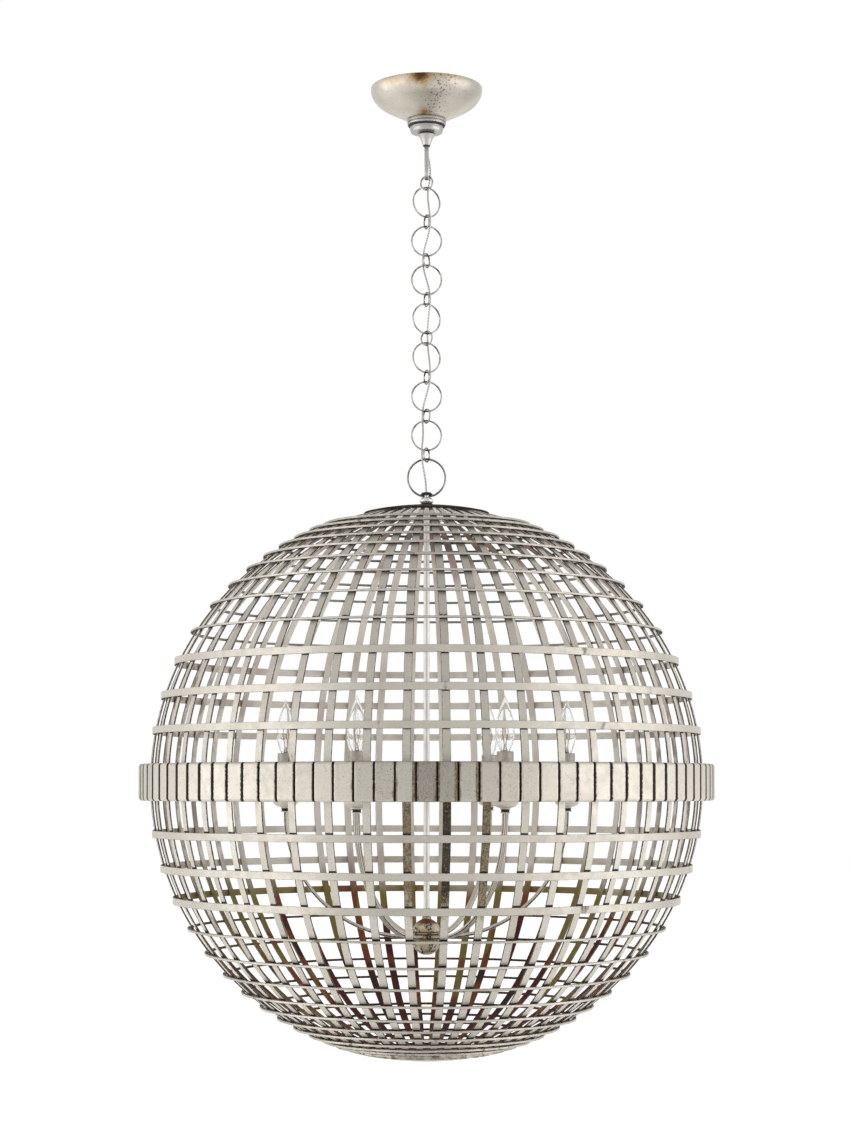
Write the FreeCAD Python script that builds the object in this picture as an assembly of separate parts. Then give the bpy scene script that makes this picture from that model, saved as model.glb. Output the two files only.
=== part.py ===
import FreeCAD, Part
import math
import os

os.makedirs("parts", exist_ok=True)

# Orb chandelier, in millimetres. The origin is on the axis at the ceiling plane, +Z is up,
# and -Y is the side that faces the room. Everything hangs from the crossbar on the ceiling.
V = FreeCAD.Vector
UP = V(0, 0, 1)

# Ceiling fitting
BAR_LENGTH = 106.0
BAR_WIDTH = 18.0
BAR_THICK = 2.0
BOX_SCREW_SPACING = 88.9
BOX_SLOT_LENGTH = 12.0
BOX_SLOT_R = 2.25
NIPPLE_R = 5.0
NIPPLE_BORE_R = 3.2
NIPPLE_ABOVE = 6.0
NIPPLE_ENGAGE = 12.0
NUT_FLATS = 17.0
NUT_HEIGHT = 5.0

# Canopy: a spun bowl held up by a screw collar on the turned loop base
CANOPY_R = 75.7
CANOPY_DEPTH = 41.9
CANOPY_LIP = 7.0
CANOPY_SHOULDER_R = 52.8
CANOPY_SHOULDER_DEPTH = 28.5
CANOPY_THICK = 1.2
CANOPY_SEAT_R = 27.0
COLLAR_TOP_HEIGHT = 10.0
COLLAR_BAND_R = 22.5
COLLAR_BAND_HEIGHT = 8.0
BASE_R = 11.7
BASE_ABOVE_SEAT = 6.0
BASE_BELOW_COLLAR = 4.0
CONE_HEIGHT = 15.0
CONE_END_R = 4.5
CORD_BORE_R = 2.2
HANGER_HALF_WIDTH = 9.5
HANGER_STRIP_WIDTH = 6.0
STRIP_THICK = 2.5
HANGER_DROP = 43.8

# Chain: small round links and large round rings by turns, all of one wire
WIRE_D = 2.3
LINK_R = 9.2
RING_R = 20.1
LINK_YAWS = (-30.0, -70.0, 65.0, -70.0, -38.0, -70.0, -62.0, 66.0)
RING_YAWS = (27.0, 0.0, 0.0, 25.0, 25.0, 5.0, 5.0)
CAGE_LOOP_R = 25.75
CAGE_LOOP_WIDTH = 7.0
NECK_R = 9.5
NECK_HEIGHT = 11.0
LOOP_NUT_R = 8.5
LOOP_NUT_HEIGHT = 4.2

# Cage: flat ribs from pole to pole inside rings that stack up to square windows. The upper
# rings stand a little higher than that rule says, by the lifts, counted from the belt
CAGE_R = 375.0
RIB_COUNT = 48
RIB_INSET = 4.0
RIB_FACE_R = CAGE_R - RIB_INSET
RIB_WIDTH = 10.0
RIB_THICK = 2.2
RIB_FLATS = 12
RIB_TAPER_R = 150.0
RIB_END_WIDTH = 4.5
RIB_END_R = 78.4
RING_STEP = math.radians(360.0 / RIB_COUNT)
FIRST_RING_SHIFT = 0.054
HOOP_HEIGHT = 9.5
HOOP_THICK = 2.5
WASHER_WIDTH = 5.0
WASHER_THICK = 3.0
HOOPS_PER_HALF = 3
RINGS_LEFT_OUT_ABOVE = 3
UPPER_LIFTS = (0.0, 0.5, 4.0, 6.0, 8.0, 6.5, 5.0, 3.0, 1.0)
COARSE_BELOW_R = 330.0
PLATE_OVERLAP = 5.6
PLATE_R = RIB_END_R + PLATE_OVERLAP
PLATE_THICK = 2.5

# Belt: upright bent strips side by side round the equator, one on each rib and one between
BELT_STANDOFF = 14.7
BELT_R = RIB_FACE_R + BELT_STANDOFF
BELT_HEIGHT = 48.5
STRIP_COUNT = 2 * RIB_COUNT
STRIP_GAP = 1.6
STRIP_SHEET = 1.8
STRIP_BEND = 3.6
BACKING_SPLIT = 1.2

# Light cluster on the rod through the top of the cage
ROD_R = 4.0
ROD_BORE_R = 2.6
HUB_BELOW_CENTRE = 208.0
HUB_BODY_R = 17.0
HUB_BODY_HEIGHT = 12.0
HUB_BALL_R = 19.0
HUB_TOP_HEIGHT = 18.0
HUB_BOTTOM_HEIGHT = 18.0
HUB_NECK_R = 6.5
HUB_NECK_HEIGHT = 7.0
LAMP_COUNT = 6
LAMP_PHASE = -28.0
LAMP_R = 190.0
ARM_LEVEL_RUN = 8.0
ARM_BEND_R = LAMP_R - HUB_BODY_R - ARM_LEVEL_RUN
ARM_WIDTH = 7.6
ARM_DEPTH = 5.0
ARM_STEPS = 9
CUP_STEM_R = 6.5
CUP_STEM_HEIGHT = 7.0
CUP_R = 20.0
CUP_HEIGHT = 20.0
CUP_SHEET = 1.4
CUP_FLOOR = 3.4
BULB_BASE_R = 6.0
BULB_BASE_HEIGHT = 23.0
BULB_BASE_GAP = 0.3
SOCKET_BORE_R = BULB_BASE_R + BULB_BASE_GAP
SOCKET_WALL = 1.7
SOCKET_R = SOCKET_BORE_R + SOCKET_WALL
SOCKET_HEIGHT = 30.0
SOCKET_DEPTH = 24.0
SOCKET_BELOW_RIM = 4.0
SLEEVE_AIR = 1.8
SLEEVE_BORE_R = SOCKET_R + SLEEVE_AIR
SLEEVE_WALL = 1.2
SLEEVE_R = SLEEVE_BORE_R + SLEEVE_WALL
SLEEVE_HEIGHT = 69.0
BULB_R = 12.5
BULB_LENGTH = 76.0

# Clearances
SLIDE_GAP = 0.5
THREAD_GAP = 0.2
WIRE_GAP = 0.55
HANGER_GAP = 1.5
LOOP_GAP = 1.1
WELD_GAP = 0.05
PLATE_GAP = 0.3

# Numbers of flats that stand for a full circle
LARGE_FLATS = 48
CANOPY_FLATS = 36
SMALL_FLATS = 24
TINY_FLATS = 12
LINK_FLATS = 14
RING_FLATS = 20
WIRE_FLATS = 6

# Cord: the lead that is woven through the chain, as its route's points (x, y, z)
CORD_R = 1.25
CORD_FLATS = 6
CORD_ROUTE = (
    (0.0, 0.0, 4.0),
    (0.3, 0.2, -22.0),
    (-0.2, 0.0, -46.0),
    (0.2, 0.1, -68.0),
    (0.7, 0.4, -86.0),
    (3.8, 1.2, -100.0),
    (5.2, 1.8, -112.5),
    (4.6, 2.4, -124.5),
    (1.8, 4.4, -136.5),
    (1.6, 2.8, -149.0),
    (3.2, -1.2, -162.5),
    (4.7, -3.2, -175.5),
    (4.9, -3.6, -188.0),
    (2.0, -1.8, -201.0),
    (-2.0, 1.4, -214.0),
    (-4.9, 3.5, -227.0),
    (-5.0, 3.6, -240.5),
    (-2.2, 1.7, -253.5),
    (1.6, -1.6, -266.5),
    (4.6, -3.5, -280.0),
    (4.8, -3.6, -293.0),
    (3.3, -1.4, -306.5),
    (1.8, 2.2, -319.0),
    (1.2, 4.8, -332.5),
    (1.3, 4.9, -346.0),
    (2.4, 2.4, -359.0),
    (4.0, -1.4, -372.5),
    (4.9, -3.5, -385.5),
    (4.8, -3.6, -398.5),
    (1.6, -1.8, -411.5),
    (-2.6, 1.6, -425.0),
    (-5.6, 3.5, -438.0),
    (-5.7, 3.6, -451.0),
    (-4.6, 1.4, -464.0),
    (-5.0, -2.0, -477.5),
    (-6.4, -5.0, -490.5),
    (-6.5, -5.6, -503.0),
    (-4.4, -3.6, -517.0),
    (-1.7, -1.2, -531.0),
    (-0.2, -0.1, -546.0),
    (0.0, 0.1, -561.0),
)


def export(name, solids):
    """Write one node, made of one solid or of several that stay apart."""
    shape = solids[0] if len(solids) == 1 else Part.makeCompound(solids)
    shape.exportStep("parts/" + name + ".step")
    bad = [s for s in solids if not s.isValid() or s.Volume <= 0]
    print(name, len(solids), "solids", round(sum(s.Volume for s in solids)), "mm3", "BAD" if bad else "")


def around(shape, angles):
    """Copies of a shape turned about the axis by each angle in degrees."""
    copies = []
    for angle in angles:
        turned_copy = shape.copy()
        turned_copy.rotate(V(0, 0, 0), UP, angle)
        copies.append(turned_copy)
    return copies


def evenly(count, phase):
    return [phase + 360.0 * i / count for i in range(count)]


def flat_face(points):
    return Part.Face(Part.makePolygon(points + [points[0]]))


def skinned(sections, closed):
    """The solid whose walls join each section to the next. Sections are rows of points."""
    faces = []
    last = len(sections) if closed else len(sections) - 1
    for i in range(last):
        here = sections[i]
        there = sections[(i + 1) % len(sections)]
        for j in range(len(here)):
            k = (j + 1) % len(here)
            corners = []
            for point in (here[j], here[k], there[k], there[j]):
                if all(point.distanceToPoint(c) > 1e-6 for c in corners):
                    corners.append(point)
            if len(corners) > 2:
                faces.append(flat_face(corners))
    if not closed:
        faces.append(flat_face(sections[0]))
        faces.append(flat_face(sections[-1]))
    return outward(Part.Solid(Part.makeShell(faces)))


def outward(solid):
    if solid.Volume < 0:
        solid.reverse()
    return solid


def turned(profile, flats, phase=0.0):
    """A turned piece with flat sides: the (radius, z) profile stands at the middle of each flat."""
    reach = 1.0 / math.cos(math.pi / flats)
    sections = []
    for i in range(flats):
        angle = math.radians(phase + 360.0 * (i + 0.5) / flats)
        row = [V(r * reach * math.cos(angle), r * reach * math.sin(angle), z) for r, z in profile]
        sections.append(row)
    return skinned(sections, True)


def tube(outer, inner, low, high, flats, phase=0.0):
    return turned([(inner, low), (outer, low), (outer, high), (inner, high)], flats, phase)


def mitred(path, section, side, closed):
    """Sweep a section of (across, side) points along straight runs that meet at mitres."""
    count = len(path)
    rows = []
    for i in range(count):
        into = path[i] - path[i - 1] if closed or i else path[1] - path[0]
        out = path[(i + 1) % count] - path[i] if closed or i < count - 1 else path[i] - path[i - 1]
        into.normalize()
        out.normalize()
        across = side.cross(into)
        across.normalize()
        face = into + out
        row = []
        for a, s in section:
            point = path[i] + across * a + side * s
            row.append(point - into * ((point - path[i]).dot(face) / into.dot(face)))
        rows.append(row)
    return skinned(rows, closed)


def round_section(radius, flats):
    steps = [2.0 * math.pi * (i + 0.5) / flats for i in range(flats)]
    return [(radius * math.cos(t), radius * math.sin(t)) for t in steps]


def strip_section(thick, width):
    """A flat strip with eased edges, as (across, side) points."""
    t = thick / 2.0
    w = width / 2.0
    e = t / 4
    return [(-t, -w / 2), (-t, w / 2), (-e, w), (e, w), (t, w / 2), (t, -w / 2), (e, -w), (-e, -w)]


def circle_path(radius, z, yaw, flats):
    """Corners of an upright ring whose plane is turned by yaw from the XZ plane."""
    along = V(math.cos(math.radians(yaw)), math.sin(math.radians(yaw)), 0)
    corners = []
    for i in range(flats):
        angle = 2.0 * math.pi * i / flats
        corners.append(V(0, 0, z) + along * (radius * math.sin(angle)) + UP * (radius * math.cos(angle)))
    side = UP.cross(along)
    return corners, side


def wire_ring(radius, z, yaw, flats):
    corners, side = circle_path(radius, z, yaw, flats)
    return mitred(corners, round_section(WIRE_D / 2.0, WIRE_FLATS), side, True)


def hexagon(flats_across, low, high, bore_r):
    return tube(flats_across / 2.0, bore_r, low, high, 6)


# Heights down the axis, each from the one above it
CANOPY_SEAT_Z = -CANOPY_DEPTH
COLLAR_LOW_Z = CANOPY_SEAT_Z - COLLAR_TOP_HEIGHT - COLLAR_BAND_HEIGHT
BASE_TOP_Z = CANOPY_SEAT_Z + BASE_ABOVE_SEAT
BASE_LOW_Z = COLLAR_LOW_Z - BASE_BELOW_COLLAR
CONE_LOW_Z = BASE_LOW_Z - CONE_HEIGHT
HANGER_TOP_Z = CONE_LOW_Z - STRIP_THICK / 2.0 + 1.0
HANGER_LOW_Z = HANGER_TOP_Z - HANGER_DROP
WIRE_SEAT = WIRE_D + WIRE_GAP
HANGER_SEAT = (STRIP_THICK + WIRE_D) / 2.0 + HANGER_GAP


def chain_levels():
    """Centre heights of the links and the rings, and the middle of the lowest wire."""
    links = []
    rings = []
    carrier = HANGER_LOW_Z
    seat = HANGER_SEAT
    for i in range(len(LINK_YAWS)):
        centre = carrier + seat - LINK_R
        links.append(centre)
        carrier = centre - LINK_R
        seat = WIRE_SEAT
        if i < len(RING_YAWS):
            centre = carrier + seat - RING_R
            rings.append(centre)
            carrier = centre - RING_R
    return links, rings, carrier


LINK_ZS, RING_ZS, LAST_WIRE_Z = chain_levels()
LOOP_Z = LAST_WIRE_Z + (WIRE_D + STRIP_THICK) / 2.0 + LOOP_GAP - CAGE_LOOP_R
LOOP_LOW_Z = LOOP_Z - CAGE_LOOP_R - STRIP_THICK / 2.0
PLATE_TOP_Z = LOOP_LOW_Z - NECK_HEIGHT
POLE_R = RIB_FACE_R + PLATE_GAP + PLATE_THICK
CAGE_Z = PLATE_TOP_Z - POLE_R
HUB_Z = CAGE_Z - HUB_BELOW_CENTRE


def ceiling_fitting():
    """The crossbar on the outlet box, the hollow threaded nipple and its two lock nuts."""
    bar = Part.makeBox(BAR_LENGTH, BAR_WIDTH, BAR_THICK, V(-BAR_LENGTH / 2, -BAR_WIDTH / 2, -BAR_THICK))
    bore = NIPPLE_R / math.cos(math.pi / TINY_FLATS) + THREAD_GAP
    bar = bar.cut(Part.makeCylinder(bore, 3 * BAR_THICK, V(0, 0, -2 * BAR_THICK)))
    for side in (-1, 1):
        bar = bar.cut(screw_slot(side * BOX_SCREW_SPACING / 2))
    export("ceiling_crossbar", [bar])
    nipple_low = BASE_TOP_Z - NIPPLE_ENGAGE
    export("canopy_nipple", [tube(NIPPLE_R, NIPPLE_BORE_R, nipple_low, NIPPLE_ABOVE, TINY_FLATS)])
    upper = hexagon(NUT_FLATS, 0.0, NUT_HEIGHT, bore)
    lower = hexagon(NUT_FLATS, -BAR_THICK - NUT_HEIGHT, -BAR_THICK, bore)
    export("nipple_nuts", [upper, lower])


def screw_slot(x):
    half = BOX_SLOT_LENGTH / 2.0 - BOX_SLOT_R
    depth = 3 * BAR_THICK
    low = -2 * BAR_THICK
    slot = Part.makeBox(2 * half, 2 * BOX_SLOT_R, depth, V(x - half, -BOX_SLOT_R, low))
    for end in (x - half, x + half):
        slot = slot.fuse(Part.makeCylinder(BOX_SLOT_R, depth, V(end, 0, low)))
    return slot


def canopy():
    """A spun bowl: an upright lip, a quarter round shoulder and a shallow cone to a flat seat."""
    low = CANOPY_SEAT_Z
    hole = BASE_R + SLIDE_GAP
    inner = [(CANOPY_SEAT_R + 0.5, low + CANOPY_THICK), (hole, low + CANOPY_THICK)]
    outer = [(hole, low), (CANOPY_SEAT_R, low)]
    bowl = []
    for i in range(5):
        t = math.radians(90.0 * i / 4)
        r = CANOPY_R - (CANOPY_R - CANOPY_SHOULDER_R) * (1 - math.cos(t))
        bowl.append((r, -CANOPY_LIP - (CANOPY_SHOULDER_DEPTH - CANOPY_LIP) * math.sin(t)))
    rim = [(CANOPY_R, 0.0), (CANOPY_R - CANOPY_THICK, 0.0)]
    inside = [(r - CANOPY_THICK * 0.8, z + CANOPY_THICK * 0.7) for r, z in bowl]
    profile = outer + bowl[::-1] + rim + inside + inner
    return turned(profile, CANOPY_FLATS)


def canopy_collar():
    top = CANOPY_SEAT_Z
    step = top - COLLAR_TOP_HEIGHT
    bore = BASE_R + SLIDE_GAP
    profile = [
        (bore, top), (bore, COLLAR_LOW_Z), (COLLAR_BAND_R - 1.5, COLLAR_LOW_Z),
        (COLLAR_BAND_R, COLLAR_LOW_Z + 1.5), (COLLAR_BAND_R, step), (CANOPY_SEAT_R - 2.0, step),
        (CANOPY_SEAT_R, step + 2.0), (CANOPY_SEAT_R, top - 2.0), (CANOPY_SEAT_R - 1.2, top),
    ]
    return turned(profile, SMALL_FLATS)


def canopy_loop():
    """The turned base that takes the nipple and the collar, with the narrow hanger under it."""
    socket = NIPPLE_R / math.cos(math.pi / TINY_FLATS) + THREAD_GAP
    socket_low = BASE_TOP_Z - NIPPLE_ENGAGE - 2.0
    profile = [
        (CORD_BORE_R, CONE_LOW_Z), (CONE_END_R, CONE_LOW_Z), (BASE_R - 1.0, BASE_LOW_Z),
        (BASE_R, BASE_LOW_Z + 1.0), (BASE_R, BASE_TOP_Z), (socket, BASE_TOP_Z),
        (socket, socket_low), (CORD_BORE_R, socket_low),
    ]
    base = turned(profile, SMALL_FLATS)
    corners = []
    for centre_z, start in ((HANGER_TOP_Z - HANGER_HALF_WIDTH, 0.0), (HANGER_LOW_Z + HANGER_HALF_WIDTH, 180.0)):
        for i in range(7):
            t = math.radians(start + 30.0 * i)
            y = HANGER_HALF_WIDTH * math.cos(t)
            corners.append(V(0, y, centre_z + HANGER_HALF_WIDTH * math.sin(t)))
    hanger = mitred(corners, strip_section(STRIP_THICK, HANGER_STRIP_WIDTH), V(1, 0, 0), True)
    whole = base.fuse(hanger)
    lead_hole = Part.makeCylinder(CORD_BORE_R, CONE_HEIGHT + 4.0, V(0, 0, CONE_LOW_Z - 3.0))
    return whole.cut(lead_hole).Solids[0]


def chain():
    for i, (yaw, z) in enumerate(zip(LINK_YAWS, LINK_ZS)):
        export("chain_link_%d" % (i + 1), [wire_ring(LINK_R, z, yaw, LINK_FLATS)])
    for i, (yaw, z) in enumerate(zip(RING_YAWS, RING_ZS)):
        export("chain_ring_%d" % (i + 1), [wire_ring(RING_R, z, yaw, RING_FLATS)])


def cage_loop():
    """The round strip loop that carries the cage, pierced for the rod, with its nut and neck."""
    corners, side = circle_path(CAGE_LOOP_R, LOOP_Z, 0.0, SMALL_FLATS)
    loop = mitred(corners, strip_section(STRIP_THICK, CAGE_LOOP_WIDTH), side, True)
    pierced = loop.cut(Part.makeCylinder(ROD_R + THREAD_GAP, 8.0, V(0, 0, LOOP_LOW_Z - 2.0)))
    export("cage_loop", [pierced.Solids[0]])
    bore = ROD_R / math.cos(math.pi / TINY_FLATS) + THREAD_GAP
    seat = LOOP_LOW_Z + STRIP_THICK + 1.0
    nut = turned(
        [(bore, seat), (LOOP_NUT_R, seat + 0.8), (LOOP_NUT_R, seat + 1.6), (bore + 1.5, seat + LOOP_NUT_HEIGHT),
         (bore, seat + LOOP_NUT_HEIGHT)], SMALL_FLATS)
    export("cage_loop_nut", [nut])
    neck = turned(
        [(bore, PLATE_TOP_Z), (NECK_R, PLATE_TOP_Z), (NECK_R, PLATE_TOP_Z + 2.5), (NECK_R - 1.5, PLATE_TOP_Z + 4.0),
         (NECK_R - 1.5, LOOP_LOW_Z - 3.0), (NECK_R, LOOP_LOW_Z - 1.5), (NECK_R - 3.0, LOOP_LOW_Z),
         (bore, LOOP_LOW_Z)], SMALL_FLATS)
    export("cage_neck", [neck])


def rib_corners():
    """(radius, height) of the rib's outer face at each bend, from the lower pole to the upper."""
    end = math.acos(RIB_END_R / RIB_FACE_R)
    angles = [-end + 2 * end * i / RIB_FLATS for i in range(RIB_FLATS + 1)]
    return angles, 2 * end / RIB_FLATS


def rib_face_at(height):
    """Radius of the ribs' outer face at a height from the cage's centre."""
    angles, _ = rib_corners()
    corners = [(RIB_FACE_R * math.cos(a), RIB_FACE_R * math.sin(a)) for a in angles]
    for (r0, z0), (r1, z1) in zip(corners, corners[1:]):
        if z0 <= height <= z1:
            return r0 + (r1 - r0) * (height - z0) / (z1 - z0)
    return corners[0][0]


def rib():
    """One flat strip, bent in short flats from pole to pole, in the XZ plane, with tapered ends."""
    angles, step = rib_corners()
    inner_r = RIB_FACE_R - RIB_THICK / math.cos(step / 2)
    outer = [V(RIB_FACE_R * math.cos(a), -RIB_WIDTH / 2, CAGE_Z + RIB_FACE_R * math.sin(a)) for a in angles]
    inner = [V(inner_r * math.cos(a), -RIB_WIDTH / 2, CAGE_Z + inner_r * math.sin(a)) for a in angles]
    strip = flat_face(outer + inner[::-1]).extrude(V(0, RIB_WIDTH, 0))
    return strip.common(rib_outline()).Solids[0]


def rib_outline():
    """The rib's outline seen from above: full width down to the taper, then narrower to its end."""
    low = CAGE_Z - RIB_FACE_R
    near = RIB_END_R - RIB_THICK
    full = RIB_WIDTH / 2
    narrow = RIB_END_WIDTH / 2
    corners = [(near, -narrow), (RIB_TAPER_R, -full), (RIB_FACE_R + 1.0, -full)]
    corners += [(r, -y) for r, y in corners[::-1]]
    return flat_face([V(r, y, low) for r, y in corners]).extrude(UP * (2 * RIB_FACE_R))


def band_height(index, half):
    """Distance of a band from the equator, so that each window is about as tall as it is wide."""
    rise = FIRST_RING_SHIFT + RING_STEP * index
    latitude = 2.0 * math.atan(math.exp(rise)) - math.pi / 2
    lift = UPPER_LIFTS[index - 1] if half > 0 and index <= len(UPPER_LIFTS) else 0.0
    return CAGE_R * math.sin(latitude) + lift


def band_size(index):
    """Height and width of a band's strip, which is upright near the equator and flat nearer the pole."""
    return (HOOP_HEIGHT, HOOP_THICK) if index <= HOOPS_PER_HALF else (WASHER_THICK, WASHER_WIDTH)


def band_seat(index, half):
    """Inner radius and flats of a band, which rests on the ribs at its side nearer the equator."""
    face = rib_face_at(band_height(index, half) - band_size(index)[0] / 2.0)
    if face >= COARSE_BELOW_R:
        return face + WELD_GAP, LARGE_FLATS
    quarter_turn = math.pi / RIB_COUNT
    seat = face * math.cos(quarter_turn) + RIB_WIDTH / 2 * math.sin(quarter_turn) + WELD_GAP
    return seat, SMALL_FLATS


def band_count():
    """How many bands a half takes before the next would meet the rim of the plate at its pole."""
    rim = PLATE_R * POLE_R / (RIB_FACE_R + PLATE_GAP)
    count = HOOPS_PER_HALF
    while band_seat(count + 1, -1)[0] > rim:
        count += 1
    return count


def band(index, half):
    """One ring round the ribs."""
    tall, wide = band_size(index)
    seat, flats = band_seat(index, half)
    z = CAGE_Z + half * band_height(index, half)
    return tube(seat + wide, seat, z - tall / 2, z + tall / 2, flats, 180.0 / flats)


def backing_faces():
    """Inner and outer radius of the two hoops behind the belt, which touch the ribs at the equator."""
    seat = rib_face_at(BACKING_SPLIT / 2) + WELD_GAP
    return seat, seat + HOOP_THICK


def backing_hoop(half):
    """One of two upright hoops that close the belt from behind and carry the strips' bent edges."""
    inner, outer = backing_faces()
    low, high = sorted((CAGE_Z + half * BACKING_SPLIT / 2, CAGE_Z + half * BELT_HEIGHT / 2))
    return tube(outer, inner, low, high, LARGE_FLATS, 180.0 / LARGE_FLATS)


def polar_plate(half, hole):
    """A shallow dished plate over the ends of the ribs."""
    inner_r = RIB_FACE_R + PLATE_GAP
    edge = math.asin(PLATE_R / inner_r)
    rises = [edge, 0.72 * edge, 0.42 * edge]
    inside = [(inner_r * math.sin(t), half * inner_r * math.cos(t) + CAGE_Z) for t in rises]
    outside = [(POLE_R * math.sin(t), half * POLE_R * math.cos(t) + CAGE_Z) for t in rises]
    inside.append((hole, half * inner_r + CAGE_Z))
    outside.append((hole, half * POLE_R + CAGE_Z))
    return turned(outside + inside[::-1], SMALL_FLATS, 180.0 / SMALL_FLATS)


def cage():
    rib_angles = evenly(RIB_COUNT, -90.0 + 180.0 / RIB_COUNT)
    export("cage_ribs", around(rib(), rib_angles))
    export("equator_hoops", [backing_hoop(1), backing_hoop(-1)])
    hoops = range(1, HOOPS_PER_HALF + 1)
    last = band_count()
    export("upper_hoops", [band(i, 1) for i in hoops])
    export("lower_hoops", [band(i, -1) for i in hoops])
    export("upper_rings", [band(i, 1) for i in range(hoops[-1] + 1, last - RINGS_LEFT_OUT_ABOVE + 1)])
    export("lower_rings", [band(i, -1) for i in range(hoops[-1] + 1, last + 1)])
    export("top_plate", [polar_plate(1, ROD_R / math.cos(math.pi / TINY_FLATS) + THREAD_GAP)])
    export("bottom_plate", [polar_plate(-1, 0.0)])
    flat_middle = backing_faces()[1]
    corner = flat_middle / math.cos(math.pi / LARGE_FLATS)
    strips = around(belt_strip(corner), evenly(RIB_COUNT, -90.0)) + around(belt_strip(flat_middle), rib_angles)
    export("belt_strips", strips)


def belt_strip(carrier):
    """One upright strip of the belt, bent back at top and bottom to where the hoops behind carry it."""
    back = carrier + WELD_GAP
    top = BELT_HEIGHT / 2.0
    inside = BELT_R - STRIP_SHEET
    half = [(back, top), (BELT_R - STRIP_BEND, top), (BELT_R, top - STRIP_BEND)]
    hollow = [(inside - 1.0, top - STRIP_SHEET), (back, top - STRIP_SHEET)]
    outline = half + [(r, -z) for r, z in half[::-1]] + [(r, -z) for r, z in hollow[::-1]] + hollow
    width = 2 * back * math.tan(math.pi / STRIP_COUNT) - STRIP_GAP / 2
    corners = [V(r, -width / 2, CAGE_Z + z) for r, z in outline]
    return flat_face(corners).extrude(V(0, width, 0))


def hub():
    """The rod down the axis and the ball-shaped hub at its foot, in four turned pieces."""
    bore = ROD_R / math.cos(math.pi / TINY_FLATS) + THREAD_GAP
    body_low = HUB_Z - HUB_BODY_HEIGHT / 2
    body_high = HUB_Z + HUB_BODY_HEIGHT / 2
    neck_low = body_high + HUB_TOP_HEIGHT
    rod_top = LOOP_LOW_Z + STRIP_THICK + 1.0 + LOOP_NUT_HEIGHT
    export("centre_rod", [tube(ROD_R, ROD_BORE_R, body_low + 2.0, rod_top, TINY_FLATS)])
    export("hub_body", [tube(HUB_BODY_R, bore, body_low, body_high, SMALL_FLATS, 90.0 + LAMP_PHASE)])
    dome = []
    for i in range(5):
        t = math.radians(8.0 + 64.0 * i / 4)
        dome.append((HUB_BALL_R * math.cos(t), HUB_TOP_HEIGHT * math.sin(t) / math.sin(math.radians(72.0))))
    top = [(bore, 0.0), (HUB_BALL_R - 2.0, 0.0)] + dome + [(bore, HUB_TOP_HEIGHT)]
    export("hub_top", [turned([(r, body_high + z) for r, z in top], SMALL_FLATS)])
    low = [(0.0, 0.0), (HUB_BALL_R - 2.0, 0.0)] + dome + [(0.0, HUB_BOTTOM_HEIGHT)]
    export("hub_bottom", [turned([(r, body_low - z) for r, z in low], SMALL_FLATS)])
    neck = [
        (bore, neck_low), (HUB_NECK_R, neck_low), (HUB_NECK_R, neck_low + HUB_NECK_HEIGHT - 1.5),
        (HUB_NECK_R - 1.0, neck_low + HUB_NECK_HEIGHT), (bore, neck_low + HUB_NECK_HEIGHT),
    ]
    export("hub_neck", [turned(neck, SMALL_FLATS)])


def arm():
    """One reeded bar that leaves the hub level and bends up under its lamp, in the XZ plane."""
    root_r = HUB_BODY_R + WELD_GAP
    bend_x = LAMP_R - ARM_BEND_R
    bend_z = HUB_Z + ARM_BEND_R
    path = [V(root_r, 0, HUB_Z)]
    for i in range(ARM_STEPS + 1):
        t = math.radians(90.0 * i / ARM_STEPS)
        path.append(V(bend_x + ARM_BEND_R * math.sin(t), 0, bend_z - ARM_BEND_R * math.cos(t)))
    path.append(V(LAMP_R, 0, bend_z + 3.0))
    w = ARM_WIDTH / 2
    d = ARM_DEPTH / 2
    reeds = [(d, -0.9 * w), (0.55 * d, -w / 3), (d, 0.0), (0.55 * d, w / 3), (d, 0.9 * w)]
    section = [(-d, w), (-d, -w)] + reeds
    return mitred(path, section, V(0, 1, 0), False)


def lamp_levels():
    arm_top = HUB_Z + ARM_BEND_R + 3.0
    cup_low = arm_top + CUP_STEM_HEIGHT
    sleeve_low = cup_low + CUP_FLOOR + WELD_GAP
    rim = sleeve_low + SLEEVE_HEIGHT
    return arm_top, cup_low, sleeve_low, rim


def cup():
    """The drip cup and the stem nut under it, turned in one."""
    arm_top, low, _, _ = lamp_levels()
    bowl = [(7.5, 0.0), (14.5, 3.0), (18.2, 9.0), (CUP_R, CUP_HEIGHT)]
    outside = [(r, low + z) for r, z in bowl]
    floor = low + CUP_FLOOR
    inside = [(CUP_R - CUP_SHEET, low + CUP_HEIGHT), (18.2 - CUP_SHEET, low + 9.5), (SLEEVE_R + 1.2, floor)]
    bore = ROD_R / math.cos(math.pi / TINY_FLATS) + THREAD_GAP
    profile = [(bore, arm_top), (CUP_STEM_R, arm_top), (CUP_STEM_R, low - 1.0)] + outside + inside
    profile.append((bore, floor))
    return turned(profile, TINY_FLATS)


def socket():
    """The lamp holder on its stud, which runs down through the cup into the arm's end."""
    arm_top, low, _, rim = lamp_levels()
    top = rim - SOCKET_BELOW_RIM
    foot = top - SOCKET_HEIGHT
    profile = [
        (0.0, arm_top + WELD_GAP), (ROD_R, arm_top + WELD_GAP), (ROD_R, foot), (SOCKET_R, foot + 2.0),
        (SOCKET_R, top), (SOCKET_BORE_R, top), (SOCKET_BORE_R, top - SOCKET_DEPTH),
        (0.0, top - SOCKET_DEPTH),
    ]
    return turned(profile, TINY_FLATS)


def bulb_base():
    top = lamp_levels()[3] - SOCKET_BELOW_RIM
    low = top - SOCKET_DEPTH + WIRE_GAP
    profile = [(0.0, low), (2.5, low), (BULB_BASE_R, low + 3.0), (BULB_BASE_R, low + BULB_BASE_HEIGHT),
               (0.0, low + BULB_BASE_HEIGHT)]
    return turned(profile, TINY_FLATS)


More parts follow.
